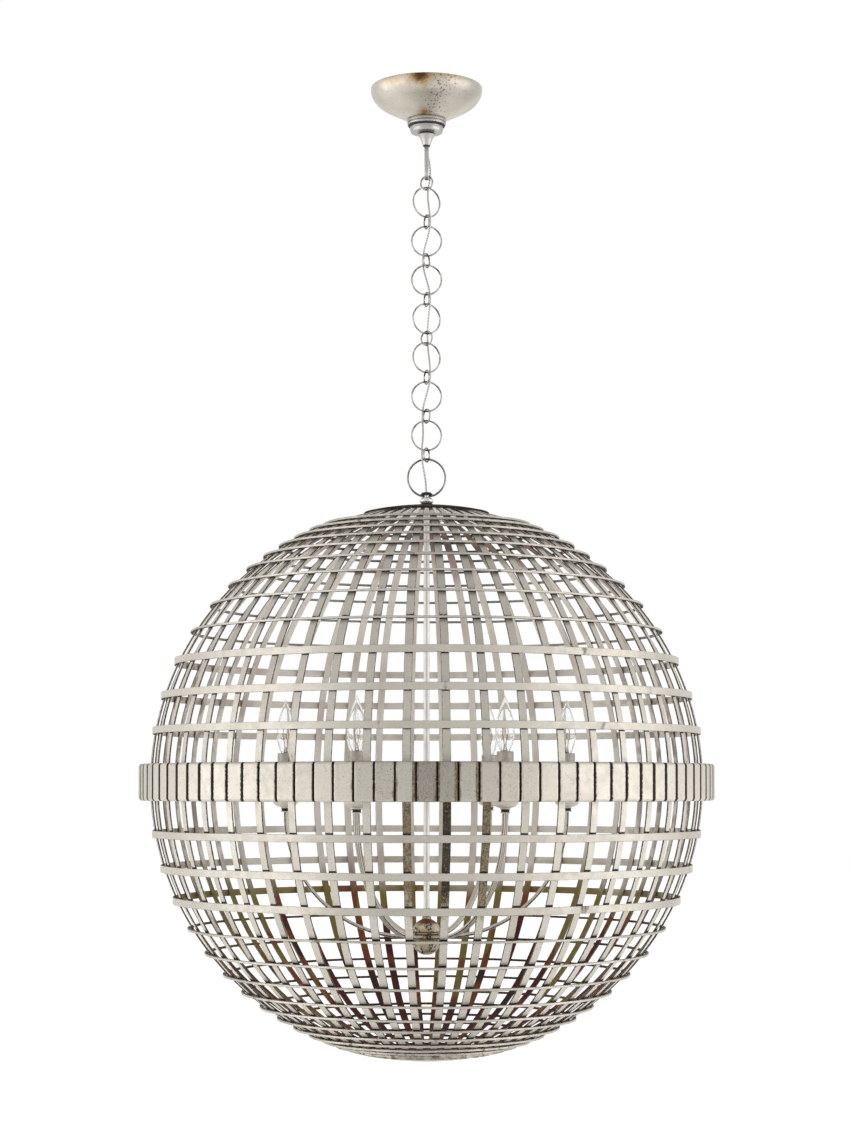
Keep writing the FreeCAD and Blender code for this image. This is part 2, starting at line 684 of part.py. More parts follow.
def bulb():
    """The clear flame-shaped glass, straight up from its base to a drawn-out tip."""
    low = lamp_levels()[3] - SOCKET_BELOW_RIM - SOCKET_DEPTH + WIRE_GAP + BULB_BASE_HEIGHT + WELD_GAP
    shares = [(0.0, 0.0), (0.46, 0.0), (0.5, 0.08), (0.86, 0.24), (1.0, 0.4), (0.9, 0.56), (0.6, 0.74),
              (0.26, 0.9), (0.1, 0.97), (0.0, 1.0)]
    return turned([(BULB_R * r, low + BULB_LENGTH * z) for r, z in shares], TINY_FLATS)


def lights():
    angles = evenly(LAMP_COUNT, LAMP_PHASE - 90.0)
    export("lamp_arms", around(arm(), angles))
    for name, piece in (("lamp_cups", cup()), ("candle_sleeves", candle_sleeve()), ("lamp_sockets", socket())):
        piece.translate(V(LAMP_R, 0, 0))
        export(name, around(piece, angles))
    glass = bulb()
    base = bulb_base()
    for i, angle in enumerate(angles):
        for name, piece in (("bulb", glass), ("bulb_base", base)):
            placed = piece.copy()
            placed.translate(V(LAMP_R, 0, 0))
            export("%s_%d" % (name, i + 1), around(placed, [angle]))


def candle_sleeve():
    _, _, low, rim = lamp_levels()
    return tube(SLEEVE_R, SLEEVE_BORE_R, low, rim, TINY_FLATS)


def cord():
    """The lead as straight runs joined by tangent arcs, each as large as its two runs allow."""
    points = [V(*p) for p in CORD_ROUTE]
    edges = []
    radii = []
    start = points[0]
    for before, here, after in zip(points, points[1:], points[2:]):
        into = here - before
        out = after - here
        turn = into.getAngle(out)
        cut = 0.45 * min(into.Length, out.Length)
        radius = cut / math.tan(turn / 2)
        radii.append(radius)
        first = here - into.normalize() * cut
        last = here + out.normalize() * cut
        bisector = (first + last) * 0.5 - here
        to_middle = bisector.Length
        hypotenuse = math.hypot(radius, cut)
        apex = here + bisector * ((hypotenuse - radius) / to_middle)
        edges.append(Part.LineSegment(start, first).toShape())
        edges.append(Part.Arc(first, apex, last).toShape())
        start = last
    edges.append(Part.LineSegment(start, points[-1]).toShape())
    path = Part.Wire(edges)
    steps = [2 * math.pi * i / CORD_FLATS for i in range(CORD_FLATS)]
    ring = [points[0] + V(CORD_R * math.cos(t), CORD_R * math.sin(t), 0) for t in steps]
    section = Part.makePolygon(ring + [ring[0]])
    solid = outward(path.makePipeShell([section], True, False))
    area = CORD_FLATS / 2.0 * CORD_R ** 2 * math.sin(2 * math.pi / CORD_FLATS)
    print("cord length", round(path.Length, 1), "least radius", round(min(radii), 1))
    print("cord radii", [round(r) for r in radii])
    print("cord volume over section times length", round(solid.Volume / (area * path.Length), 4))
    return solid


def main():
    ceiling_fitting()
    export("canopy", [canopy()])
    export("canopy_collar", [canopy_collar()])
    export("canopy_loop", [canopy_loop()])
    chain()
    cage_loop()
    cage()
    hub()
    lights()
    export("supply_cord", [cord()])
    print("cage centre z", round(CAGE_Z, 2), "hub z", round(HUB_Z, 2))


main()
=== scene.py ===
import math

import bmesh
import bpy
import numpy as np
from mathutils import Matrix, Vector
from bpy.props import FloatProperty, FloatVectorProperty, IntProperty, PointerProperty


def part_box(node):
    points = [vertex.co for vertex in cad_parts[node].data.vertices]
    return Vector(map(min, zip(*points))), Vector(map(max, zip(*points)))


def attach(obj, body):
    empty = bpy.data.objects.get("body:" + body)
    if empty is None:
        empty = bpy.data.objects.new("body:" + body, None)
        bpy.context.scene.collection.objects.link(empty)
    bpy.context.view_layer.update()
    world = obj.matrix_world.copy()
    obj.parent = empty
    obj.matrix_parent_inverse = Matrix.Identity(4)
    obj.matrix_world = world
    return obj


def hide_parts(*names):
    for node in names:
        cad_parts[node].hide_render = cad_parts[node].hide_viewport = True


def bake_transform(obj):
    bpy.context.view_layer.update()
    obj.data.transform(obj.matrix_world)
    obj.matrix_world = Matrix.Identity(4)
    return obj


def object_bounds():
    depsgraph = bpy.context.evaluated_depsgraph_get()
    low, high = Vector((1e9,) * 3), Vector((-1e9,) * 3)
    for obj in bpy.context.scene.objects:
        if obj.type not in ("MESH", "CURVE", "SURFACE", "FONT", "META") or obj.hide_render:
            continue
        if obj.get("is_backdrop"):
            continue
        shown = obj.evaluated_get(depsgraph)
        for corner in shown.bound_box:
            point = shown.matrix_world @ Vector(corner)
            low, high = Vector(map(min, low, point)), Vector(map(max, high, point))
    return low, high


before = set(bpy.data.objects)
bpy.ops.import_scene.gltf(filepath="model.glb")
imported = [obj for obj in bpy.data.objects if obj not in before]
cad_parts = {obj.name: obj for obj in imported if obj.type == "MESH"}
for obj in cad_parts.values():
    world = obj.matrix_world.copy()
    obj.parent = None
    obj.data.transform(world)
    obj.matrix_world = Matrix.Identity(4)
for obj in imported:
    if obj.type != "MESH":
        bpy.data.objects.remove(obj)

bl_info = {
    "name": "Orb Chandelier",
    "version": (1, 0, 0),
    "blender": (4, 5, 0),
    "location": "3D View > Sidebar > Chandelier",
    "description": "Dresses an orb chandelier in aged leaf, on its measured frame",
    "category": "Object",
}


def levels(node):
    """Heights of the lowest and the highest point of a piece of the frame, in metres."""
    low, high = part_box(node)
    return float(low[2]), float(high[2])


def level_of(node):
    """Height of a piece's middle."""
    low, high = levels(node)
    return (low + high) / 2


def radius_of(node):
    """Half a piece's width."""
    low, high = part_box(node)
    return (float(high[0]) - float(low[0])) / 2


CAGE_Z = level_of("belt_strips")
HUB_Z = level_of("hub_body")
FRONT = -math.pi / 2
FULL_TURN = 2 * math.pi

# The chain's loops from the top, and how far each is turned about the upright, in degrees
LINKS = ["chain_link_%d" % i for i in range(1, 9)]
RINGS = ["chain_ring_%d" % i for i in range(1, 8)]
LINK_YAWS = (-30.0, -70.0, 65.0, -70.0, -38.0, -70.0, -62.0, 66.0)
RING_YAWS = (27.0, 0.0, 0.0, 25.0, 25.0, 5.0, 5.0)

# How far the rings above the belt stand over the rule of square windows, from the belt upwards
UPPER_LIFTS = (0.0, 0.0005, 0.004, 0.006, 0.008, 0.0065, 0.005, 0.003, 0.001)

# Route of the lead, in millimetres, from the crossbar down to the rod
CORD_ROUTE = (
    (0.0, 0.0, 4.0), (0.3, 0.2, -22.0), (-0.2, 0.0, -46.0), (0.2, 0.1, -68.0),
    (0.7, 0.4, -86.0), (3.8, 1.2, -100.0), (5.2, 1.8, -112.5), (4.6, 2.4, -124.5),
    (1.8, 4.4, -136.5), (1.6, 2.8, -149.0), (3.2, -1.2, -162.5), (4.7, -3.2, -175.5),
    (4.9, -3.6, -188.0), (2.0, -1.8, -201.0), (-2.0, 1.4, -214.0), (-4.9, 3.5, -227.0),
    (-5.0, 3.6, -240.5), (-2.2, 1.7, -253.5), (1.6, -1.6, -266.5), (4.6, -3.5, -280.0),
    (4.8, -3.6, -293.0), (3.3, -1.4, -306.5), (1.8, 2.2, -319.0), (1.2, 4.8, -332.5),
    (1.3, 4.9, -346.0), (2.4, 2.4, -359.0), (4.0, -1.4, -372.5), (4.9, -3.5, -385.5),
    (4.8, -3.6, -398.5), (1.6, -1.8, -411.5), (-2.6, 1.6, -425.0), (-5.6, 3.5, -438.0),
    (-5.7, 3.6, -451.0), (-4.6, 1.4, -464.0), (-5.0, -2.0, -477.5), (-6.4, -5.0, -490.5),
    (-6.5, -5.6, -503.0), (-4.4, -3.6, -517.0), (-1.7, -1.2, -531.0), (-0.2, -0.1, -546.0),
    (0.0, 0.1, -561.0),
)


# Settings

def length(label, text, value):
    return FloatProperty(name=label, description=text, default=value, unit="LENGTH", precision=5)


def angle(label, text, degrees):
    return FloatProperty(
        name=label, description=text, default=math.radians(degrees), subtype="ANGLE")


def tint(label, text, value):
    return FloatVectorProperty(
        name=label, description=text, default=value, subtype="COLOR", size=3, min=0, max=1)


def count_of(label, text, value):
    return IntProperty(name=label, description=text, default=value)


class CageSizes(bpy.types.PropertyGroup):
    rib_count: count_of("Ribs", "Upright flat ribs round the cage", 48)
    upper_rings: count_of("Rings above", "Rings above the belt, hoops included", 12)
    lower_rings: count_of("Rings below", "Rings below the belt, hoops included", 15)
    hoops: count_of("Hoops", "Rings each side of the belt that stand upright", 3)
    radius: length("Cage radius", "Radius of the ball that the rings follow", 0.375)
    rib_face: length("Rib face radius", "Radius of the ribs' outer faces", 0.371)
    rib_width: length("Rib width", "Width of each flat rib", 0.010)
    rib_thick: length("Rib thickness", "Thickness of each flat rib", 0.0022)
    rib_taper: length("Rib taper radius", "Distance from the axis where ribs narrow", 0.150)
    rib_end: length("Rib end radius", "Distance from the axis at which the ribs end", 0.0784)
    rib_end_width: length("Rib end width", "Width of a rib at its end", 0.0045)
    hoop_height: length("Hoop height", "Height of the upright hoops", 0.0095)
    hoop_thick: length("Hoop thickness", "Thickness of the upright hoops", 0.0025)
    ring_width: length("Ring width", "Width of the flat rings", 0.005)
    ring_thick: length("Ring thickness", "Height of the flat rings", 0.003)
    split: length("Split", "Gap between the two hoops behind the belt", 0.0003)
    first_shift: FloatProperty(
        name="First ring", description="Rise of the ring row from the equator", default=0.054)
    # Height of the painted shade in the crevice where a rib meets a ring
    crevice: length("Crevice", "Height of the dark notch where a rib enters a ring", 0.0030)
    line: length("Edge line", "Width of the waxed line along an edge", 0.0006)


class BeltSizes(bpy.types.PropertyGroup):
    strips: count_of("Strips", "Bent strips round the belt", 96)
    gap: length("Joint", "Gap between two strips at their faces", 0.0013)
    edge: length("Strip edge", "Radius of a strip's rounded sides", 0.0022)
    sheet: length("Sheet", "Thickness of the bent sheet", 0.0018)
    bend: length("Bend", "Radius of the bend at top and bottom", 0.0038)


class ChainSizes(bpy.types.PropertyGroup):
    wire: length("Wire", "Diameter of the chain's wire", 0.0023)
    cord: length("Cord", "Diameter of the lead", 0.0025)
    strip: length("Strip", "Thickness of the hanger and the cage's loop", 0.0025)
    hanger_width: length("Hanger width", "Width of the hanger's strip", 0.006)
    loop_width: length("Loop width", "Width of the cage loop's strip", 0.007)


class LampSizes(bpy.types.PropertyGroup):
    count: count_of("Lamps", "Arms with a lamp each", 6)
    phase: angle("Turn", "Turn of the first arm", -118.0)
    circle: length("Lamp circle", "Distance of the lamps from the axis", 0.190)
    bend: length("Arm bend", "Radius of each arm's bend", 0.165)
    arm_width: length("Arm width", "Width of the reeded bar", 0.0076)
    arm_depth: length("Arm depth", "Depth of the reeded bar", 0.005)
    bulb_radius: length("Bulb radius", "Largest radius of the glass", 0.0124)
    glass: length("Glass wall", "Thickness of the glass", 0.0005)


class LeafColours(bpy.types.PropertyGroup):
    leaf: tint("Leaf", "Champagne leaf in the open", (0.56, 0.525, 0.46))
    warm: tint("Warm leaf", "Leaf where the ground shows through", (0.50, 0.45, 0.37))
    # Inner leaf of the upper cage is painted paler than the outer leaf, as lit from below
    lit_grey: tint("Grey leaf", "Leaf on the inner faces of the upper cage", (0.82, 0.775, 0.70))
    # Dark wax, also the colour of painted shade wherever the skin is marked dark
    patina_and_shade: tint("Patina", "Dark wax left in joints and edges", (0.028, 0.018, 0.011))
    # The grounds below are painted dark, with the shade and reflections of the upward facing inner
    # faces
    russet: tint("Russet", "Red ground on the inner faces below", (0.075, 0.012, 0.008))
    amber: tint("Amber", "Orange brown ground on the inner faces below", (0.20, 0.060, 0.020))
    olive: tint("Olive", "Olive gold on the inner faces below", (0.23, 0.18, 0.055))
    gold: tint("Gold stain", "Brown gold stains on canopy and worn strips", (0.33, 0.20, 0.055))
    drab: tint("Drab stain", "Olive brown of the worn strips", (0.20, 0.175, 0.105))


class StageSettings(bpy.types.PropertyGroup):
    distance: length("Camera distance", "Camera in front of the axis", 3.1576)
    height: length("Camera height", "Camera height, from the ceiling down", -0.949)
    aside: length("Camera aside", "Camera to the right of the axis", -0.0008)
    pitch: angle("Pitch", "Upward pitch", 1.208)
    lens: FloatProperty(name="Lens", description="Focal length in millimetres", default=74.09)
    rise: FloatProperty(name="Rise", description="Vertical shift of the lens", default=0.15)
    floor_drop: length("Floor drop", "Height of the lowest point above the floor", 0.9)
    side_power: FloatProperty(
        name="Side lamps", description="Power of each side lamp", default=104.0, unit="POWER")
    world: FloatProperty(name="World", description="Brightness of the surroundings", default=0.42)


# Meshes

MARKS = {"soot": 0.0, "tone": 0.5, "age": 0.0, "stain": 0.0}


class Skin:
    """Gathers rows of points into one mesh, with marks for each point: one for dark wax, which in
    places is painted shade; tone, from pale to grey, which in places is painted shade; age, for
    flecks of ground; and one for brown gold stain, which in places is painted shade and reflection."""

    def __init__(self):
        self.points = []
        self.marks = {name: [] for name in MARKS}
        self.faces = []
        self.finish = []
        self.total = 0

    def add(self, rows, ring=True, closed=False, caps=True, finish=0, **marks):
        """rows is sections by points by 3. ring closes each section, closed joins the last to
        the first. finish is one number, or one for each step round the section. A mark is one
        number, one for each section, a table of sections by points, where one row holds for
        every section, or a few points' numbers with their values, the rest being zero."""
        rows = np.asarray(rows, float)
        sections, wide = rows.shape[:2]
        index = self.total + np.arange(sections * wide).reshape(sections, wide)
        for name, usual in MARKS.items():
            given = marks.get(name, usual)
            if isinstance(given, dict):
                values = np.zeros((1, wide))
                values[0, list(given)] = list(given.values())
            else:
                values = np.asarray(given, float)
            if values.ndim == 1:
                values = values[:, None]
            self.marks[name].append(np.broadcast_to(values, (sections, wide)).ravel())
        self.points.append(rows.reshape(-1, 3))
        self.total += sections * wide
        steps = wide if ring else wide - 1
        kinds = np.broadcast_to(np.asarray(finish), (steps,))
        for i in range(sections if closed else sections - 1):
            here = index[i]
            there = index[(i + 1) % sections]
            for j in range(steps):
                k = (j + 1) % wide
                self.faces.append((here[j], there[j], there[k], here[k]))
                self.finish.append(kinds[j])
        if caps and ring and not closed:
            self.faces.append(tuple(index[0]))
            self.faces.append(tuple(index[-1][::-1]))
            self.finish += [kinds[0], kinds[0]]

    def build(self, name, *finishes, sharp=38.0):
        """One object of all that was added. An edge is sharp where the faces meet at more than
        the given angle, in degrees."""
        mesh = bpy.data.meshes.new(name)
        points = np.concatenate(self.points)
        mesh.from_pydata(points.tolist(), [], [tuple(int(v) for v in f) for f in self.faces])
        for kind in finishes:
            mesh.materials.append(finish(kind))
        mesh.polygons.foreach_set("material_index", np.array(self.finish, np.int32))
        mesh.polygons.foreach_set("use_smooth", np.ones(len(self.faces), bool))
        for label, store in self.marks.items():
            layer = mesh.attributes.new(label, "FLOAT", "POINT")
            layer.data.foreach_set("value", np.concatenate(store).astype(np.float32))
        mesh.update()
        face_outwards(mesh)
        mesh.set_sharp_from_angle(angle=math.radians(sharp))
        piece = bpy.data.objects.new(name, mesh)
        bpy.context.scene.collection.objects.link(piece)
        return piece


def face_outwards(mesh):
    work = bmesh.new()
    work.from_mesh(mesh)
    bmesh.ops.recalc_face_normals(work, faces=work.faces)
    work.to_mesh(mesh)
    work.free()


def place(piece, body, slot, *nodes):
    """Let a piece ride on its body in place of the frame's plain nodes."""
    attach(piece, body)
    if nodes:
        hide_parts(*nodes)


def bump_at(angles, spot, spread):
    """A column that is 1 at a spot of the round, in degrees, and falls off on both sides."""
    turned = (angles - math.radians(spot) + math.pi) % FULL_TURN - math.pi
    return np.exp(-(turned / math.radians(spread)) ** 2)[:, None]


def wobble(values, seed, size):
    """A slow hand-made unevenness along a run of values."""
    chance = np.random.RandomState(seed)
    total = np.zeros_like(values, dtype=float)
    for k in range(3):
        total += np.sin(values * (3.1 + 5.3 * k) + chance.uniform(0, FULL_TURN)) / (1 + k)
    return total * size / 1.8


def smooth_line(points, steps):
    """Points along a smooth curve through the given ones."""
    points = np.asarray(points, float)
    padded = np.vstack([2 * points[0] - points[1], points, 2 * points[-1] - points[-2]])
    line = []
    for i in range(1, len(padded) - 2):
        a, b, c, d = padded[i - 1:i + 3]
        for t in np.arange(steps) / steps:
            line.append(0.5 * (2 * b + (c - a) * t + (2 * a - 5 * b + 4 * c - d) * t ** 2
                               + (3 * b - a - 3 * c + d) * t ** 3))
    line.append(points[-1])
    return np.array(line)


def round_angles(count):
    return FULL_TURN * np.arange(count) / count


def turn(profile, segments, centre=(0.0, 0.0)):
    """Sections of a turned piece: the (radius, height) profile swept round an upright axis."""
    profile = np.asarray(profile, float)
    angles = round_angles(segments)
    rows = np.empty((segments, len(profile), 3))
    rows[:, :, 0] = centre[0] + np.cos(angles)[:, None] * profile[:, 0]
    rows[:, :, 1] = centre[1] + np.sin(angles)[:, None] * profile[:, 0]
    rows[:, :, 2] = profile[:, 1]
    return rows


def turned_piece(name, finishes, home, profile, segments, **looks):
    """Make one piece that is turned on the axis. home is its body, slot and node, and looks is
    what the skin takes: marks, and finishes round the section."""
    skin = Skin()
    skin.add(turn(profile, segments), closed=True, **looks)
    place(skin.build(name, *finishes), *home)


def outwards_at(turned):
    """Directions at an angle of the round: away from the axis, and level across that."""
    radial = np.array([math.cos(turned), math.sin(turned), 0.0])
    return radial, np.array([-math.sin(turned), math.cos(turned), 0.0])


def sweep(path, section, across, closed=False):
    """Sections along a path. across is the direction of the section's first number. The section
    is one set of (across, out) points, or one set for each point of the path."""
    path = np.asarray(path, float)
    across = np.asarray(across, float)
    if closed:
        along = np.roll(path, -1, 0) - np.roll(path, 1, 0)
    else:
        along = np.gradient(path, axis=0)
    along /= np.linalg.norm(along, axis=1)[:, None]
    out = np.cross(along, across)
    out /= np.linalg.norm(out, axis=1)[:, None]
    section = np.asarray(section, float)
    if section.ndim == 2:
        section = section[None]
    return path[:, None, :] + section[..., :1] * across + section[..., 1:] * out[:, None, :]


def tube(path, radius, sides):
    """Sections of a round tube that doesn't twist along its path."""
    path = np.asarray(path, float)
    along = np.gradient(path, axis=0)
    along /= np.linalg.norm(along, axis=1)[:, None]
    side = np.array([1.0, 0.0, 0.0])
    t = round_angles(sides)
    rows = []
    for point, way in zip(path, along):
        side = side - way * side.dot(way)
        side /= np.linalg.norm(side)
        other = np.cross(way, side)
        rows.append(point + radius * (np.cos(t)[:, None] * side + np.sin(t)[:, None] * other))
    return np.array(rows)


def upright_circle(radius, z, yaw, count):
    """Points round an upright circle about the axis, the direction of its own axis, and the
    angle of each point from the top."""
    along = np.array([math.cos(yaw), math.sin(yaw), 0.0])
    t = round_angles(count)
    path = np.outer(np.sin(t) * radius, along)
    path[:, 2] = z + radius * np.cos(t)
    return path, np.array([-math.sin(yaw), math.cos(yaw), 0.0]), t


# Finishes

# Waves per metre of the fine relief on every leafed face
GRAIN = 300.0

# Heights from the middle of the belt over which the inner faces pass from one ground to the next,
# and into the painted shade near the poles
RED_BELOW = (-0.115, -0.060)
OLIVE_ABOVE = (-0.29, -0.13)
SHADE_ABOVE = (0.345, 0.385)
SHADE_BELOW = (-0.345, -0.275)
# Distances to the side over which they turn to mottled painted shade
SHADED_BEYOND = (0.22, 0.36)

# Shares of the warm leaf's red, green and blue in the ground that shows through flecks
BARE_SHARES = (0.30, 0.24, 0.18)

# Brown of the mottled painted shade towards the sides of the inner faces
SIDE_SHADE = (0.10, 0.065, 0.030)
EDGE_FLECKS = (0.16, 0.10, 0.05)
BURNT_GOLD = (0.075, 0.028, 0.005)
HUB_CREAM = (0.66, 0.60, 0.48)
HUB_TAN = (0.44, 0.34, 0.18)
HUB_RED = (0.15, 0.035, 0.010)
WIRE_GREY = (0.47, 0.455, 0.43)
WIRE_WARM = (0.36, 0.33, 0.28)
NECK_PALE = (0.80, 0.78, 0.73)


def scaled(colour, share):
    return tuple(c * share for c in colour)


def blended(first, second, share):
    """A colour that holds a share of the first and the rest of the second."""
    return tuple(share * a + (1 - share) * b for a, b in zip(first, second))


class Nodes:
    """A node tree under construction, with short ways to add its nodes."""

    def __init__(self, tree):
        self.tree = tree

    def node(self, kind, **settings):
        made = self.tree.nodes.new(kind)
        for key, value in settings.items():
            setattr(made, key, value)
        return made

    def link(self, source, target):
        self.tree.links.new(source, target)

    def math(self, kind, a, b=0.0):
        made = self.node("ShaderNodeMath", operation=kind)
        for socket, value in zip(made.inputs, (a, b)):
            if isinstance(value, (int, float)):
                socket.default_value = value
            else:
                self.link(value, socket)
        return made.outputs["Value"]

    def add(self, a, b):
        return self.math("ADD", a, b)

    def times(self, a, b):
        return self.math("MULTIPLY", a, b)

    def most(self, a, b):
        return self.math("MAXIMUM", a, b)

    def seen_rays(self, seen, other):
        """One strength for what the camera, mirrors and glass see, and another for the rest of
        the light."""
        path = self.node("ShaderNodeLightPath").outputs
        either = self.most(path["Is Camera Ray"], path["Is Glossy Ray"])
        any_of = self.most(either, path["Is Transmission Ray"])
        made = self.node("ShaderNodeMapRange")
        self.link(any_of, made.inputs["Value"])
        made.inputs["To Min"].default_value = other
        made.inputs["To Max"].default_value = seen
        return made.outputs["Result"]


class Finish(Nodes):
    """A material whose noises are placed by the piece's own coordinates, in metres."""

    def __init__(self, name):
        self.material = bpy.data.materials.new(name)
        self.material.use_nodes = True
        super().__init__(self.material.node_tree)
        self.shader = self.tree.nodes["Principled BSDF"]
        self.coords = self.node("ShaderNodeTexCoord").outputs["Object"]

    def noise(self, scale, detail=3.0, rough=0.55, stretch=None):
        """Soft noise from 0 to 1. scale is in waves per metre: 16 gives clouds of 60 mm, and
        600 gives flecks of less than 2 mm."""
        made = self.node("ShaderNodeTexNoise")
        made.inputs["Scale"].default_value = scale
        made.inputs["Detail"].default_value = detail
        made.inputs["Roughness"].default_value = rough
        source = self.coords
        if stretch:
            mapping = self.node("ShaderNodeMapping")
            mapping.inputs["Scale"].default_value = stretch
            self.link(source, mapping.inputs["Vector"])
            source = mapping.outputs["Vector"]
        self.link(source, made.inputs["Vector"])
        return made.outputs["Fac"]

    def ragged(self, *noise, size=None):
        """A noise about zero, which makes a border uneven."""
        about_zero = self.add(self.noise(*noise), -0.5)
        return about_zero if size is None else self.times(about_zero, size)

    def between(self, source, low, high, to_low=0.0, to_high=1.0):
        """A soft step from to_low to to_high while the source goes from low to high."""
        made = self.node("ShaderNodeMapRange", interpolation_type="SMOOTHSTEP")
        self.link(source, made.inputs["Value"])
        names = ("From Min", "From Max", "To Min", "To Max")
        for name, value in zip(names, (low, high, to_low, to_high)):
            made.inputs[name].default_value = value
        return made.outputs["Result"]

    def mark(self, name):
        """One of the marks that a piece's skin holds for each point."""
        return self.node("ShaderNodeAttribute", attribute_name=name).outputs["Fac"]

    def mix(self, share, a, b):
        """Colour a with a share of colour b. A colour is a socket or three numbers."""
        made = self.node("ShaderNodeMix", data_type="RGBA", blend_type="MIX")
        colours = [s for s in made.inputs if s.type == "RGBA"]
        for socket, value in zip(colours, (a, b)):
            if hasattr(value, "is_linked"):
                self.link(value, socket)
            else:
                socket.default_value = (*value, 1.0)
        self.link(share, made.inputs["Factor"])
        return [s for s in made.outputs if s.type == "RGBA"][0]

    def patches(self, noise, low, high, a, b, share=None):
        """Colour a with patches of colour b, where a noise goes from low to high. They cover
        it, or let it through where a share is given."""
        cover = self.between(self.noise(*noise), low, high)
        if share is not None:
            cover = self.times(cover, share)
        return self.mix(cover, a, b)

    def colour(self, source):
        self.link(source, self.shader.inputs["Base Color"])

    def darkened(self, below, patina_and_shade):
        """Dark wax and painted shade over a colour, where the skin is marked with them."""
        self.colour(self.mix(self.between(self.mark("soot"), 0.3, 0.7), below, patina_and_shade))

    def rough(self, source):
        self.link(source, self.shader.inputs["Roughness"])

    def bump(self, source, depth, strength=0.5):
        made = self.node("ShaderNodeBump")
        made.inputs["Strength"].default_value = strength
        made.inputs["Distance"].default_value = depth
        self.link(source, made.inputs["Height"])
        self.link(made.outputs["Normal"], self.shader.inputs["Normal"])

    def set(self, **values):
        for key, value in values.items():
            self.shader.inputs[key.replace("_", " ")].default_value = value


def leaf_finish(name, base, warm, metal=0.45, rough=0.42, wear=0.5, ground=0.5, relief=0.25):
    """Silver leaf rubbed with wax: clouds of warm ground, flecks, brown stains, and dark wax and
    painted shade where the skin is marked."""
    f = Finish(name)
    colours = bpy.context.scene.orb_colours
    f.set(Metallic=metal, Roughness=rough)
    clouded = f.patches((16.0, 4.0), 0.42, 0.72, base, warm, ground)
    lit = f.mix(f.between(f.mark("tone"), 0.0, 1.0), clouded, scaled(base, 0.52))
    bright = [min(1.0, c * 1.3) for c in base]
    grained = f.patches((210.0, 3.0, 0.65), 0.38, 0.62, lit, bright, 0.08)
    reach = f.add(f.noise(640.0, 2.0, 0.6), f.times(f.mark("age"), 0.22))
    flecks = f.between(reach, 0.60, 0.76)
    bare_ground = tuple(c * share for c, share in zip(warm, BARE_SHARES))
    flecked = f.mix(f.times(flecks, wear), grained, bare_ground)
    uneven = f.ragged(170.0, 3.0, 0.6, (1.0, 1.0, 0.35))
    brown = f.between(f.add(f.mark("stain"), uneven), 0.30, 0.62)
    dull_gold = blended(colours.drab, colours.gold, 0.55)
    hue = f.patches((150.0, 2.0), 0.44, 0.60, colours.drab, dull_gold)
    speckled = f.patches((430.0, 3.0, 0.7), 0.45, 0.55, hue, scaled(colours.gold, 0.22))
    stained = f.mix(f.times(brown, 0.9), flecked, speckled)
    edge = f.add(f.mark("soot"), f.ragged(420.0, 2.0, size=0.8))
    dark = f.between(edge, 0.42, 0.62)
    f.colour(f.mix(dark, stained, colours.patina_and_shade))
    wear_and_shade = f.most(dark, brown)
    f.link(f.add(f.times(wear_and_shade, -metal), metal), f.shader.inputs["Metallic"])
    polish = f.between(f.noise(90.0, 3.0), 0.3, 0.7, rough - 0.08, rough + 0.12)
    f.rough(f.add(polish, f.times(wear_and_shade, 0.45)))
    f.bump(f.noise(GRAIN, 4.0, 0.6), 0.0004, relief)
    return f.material


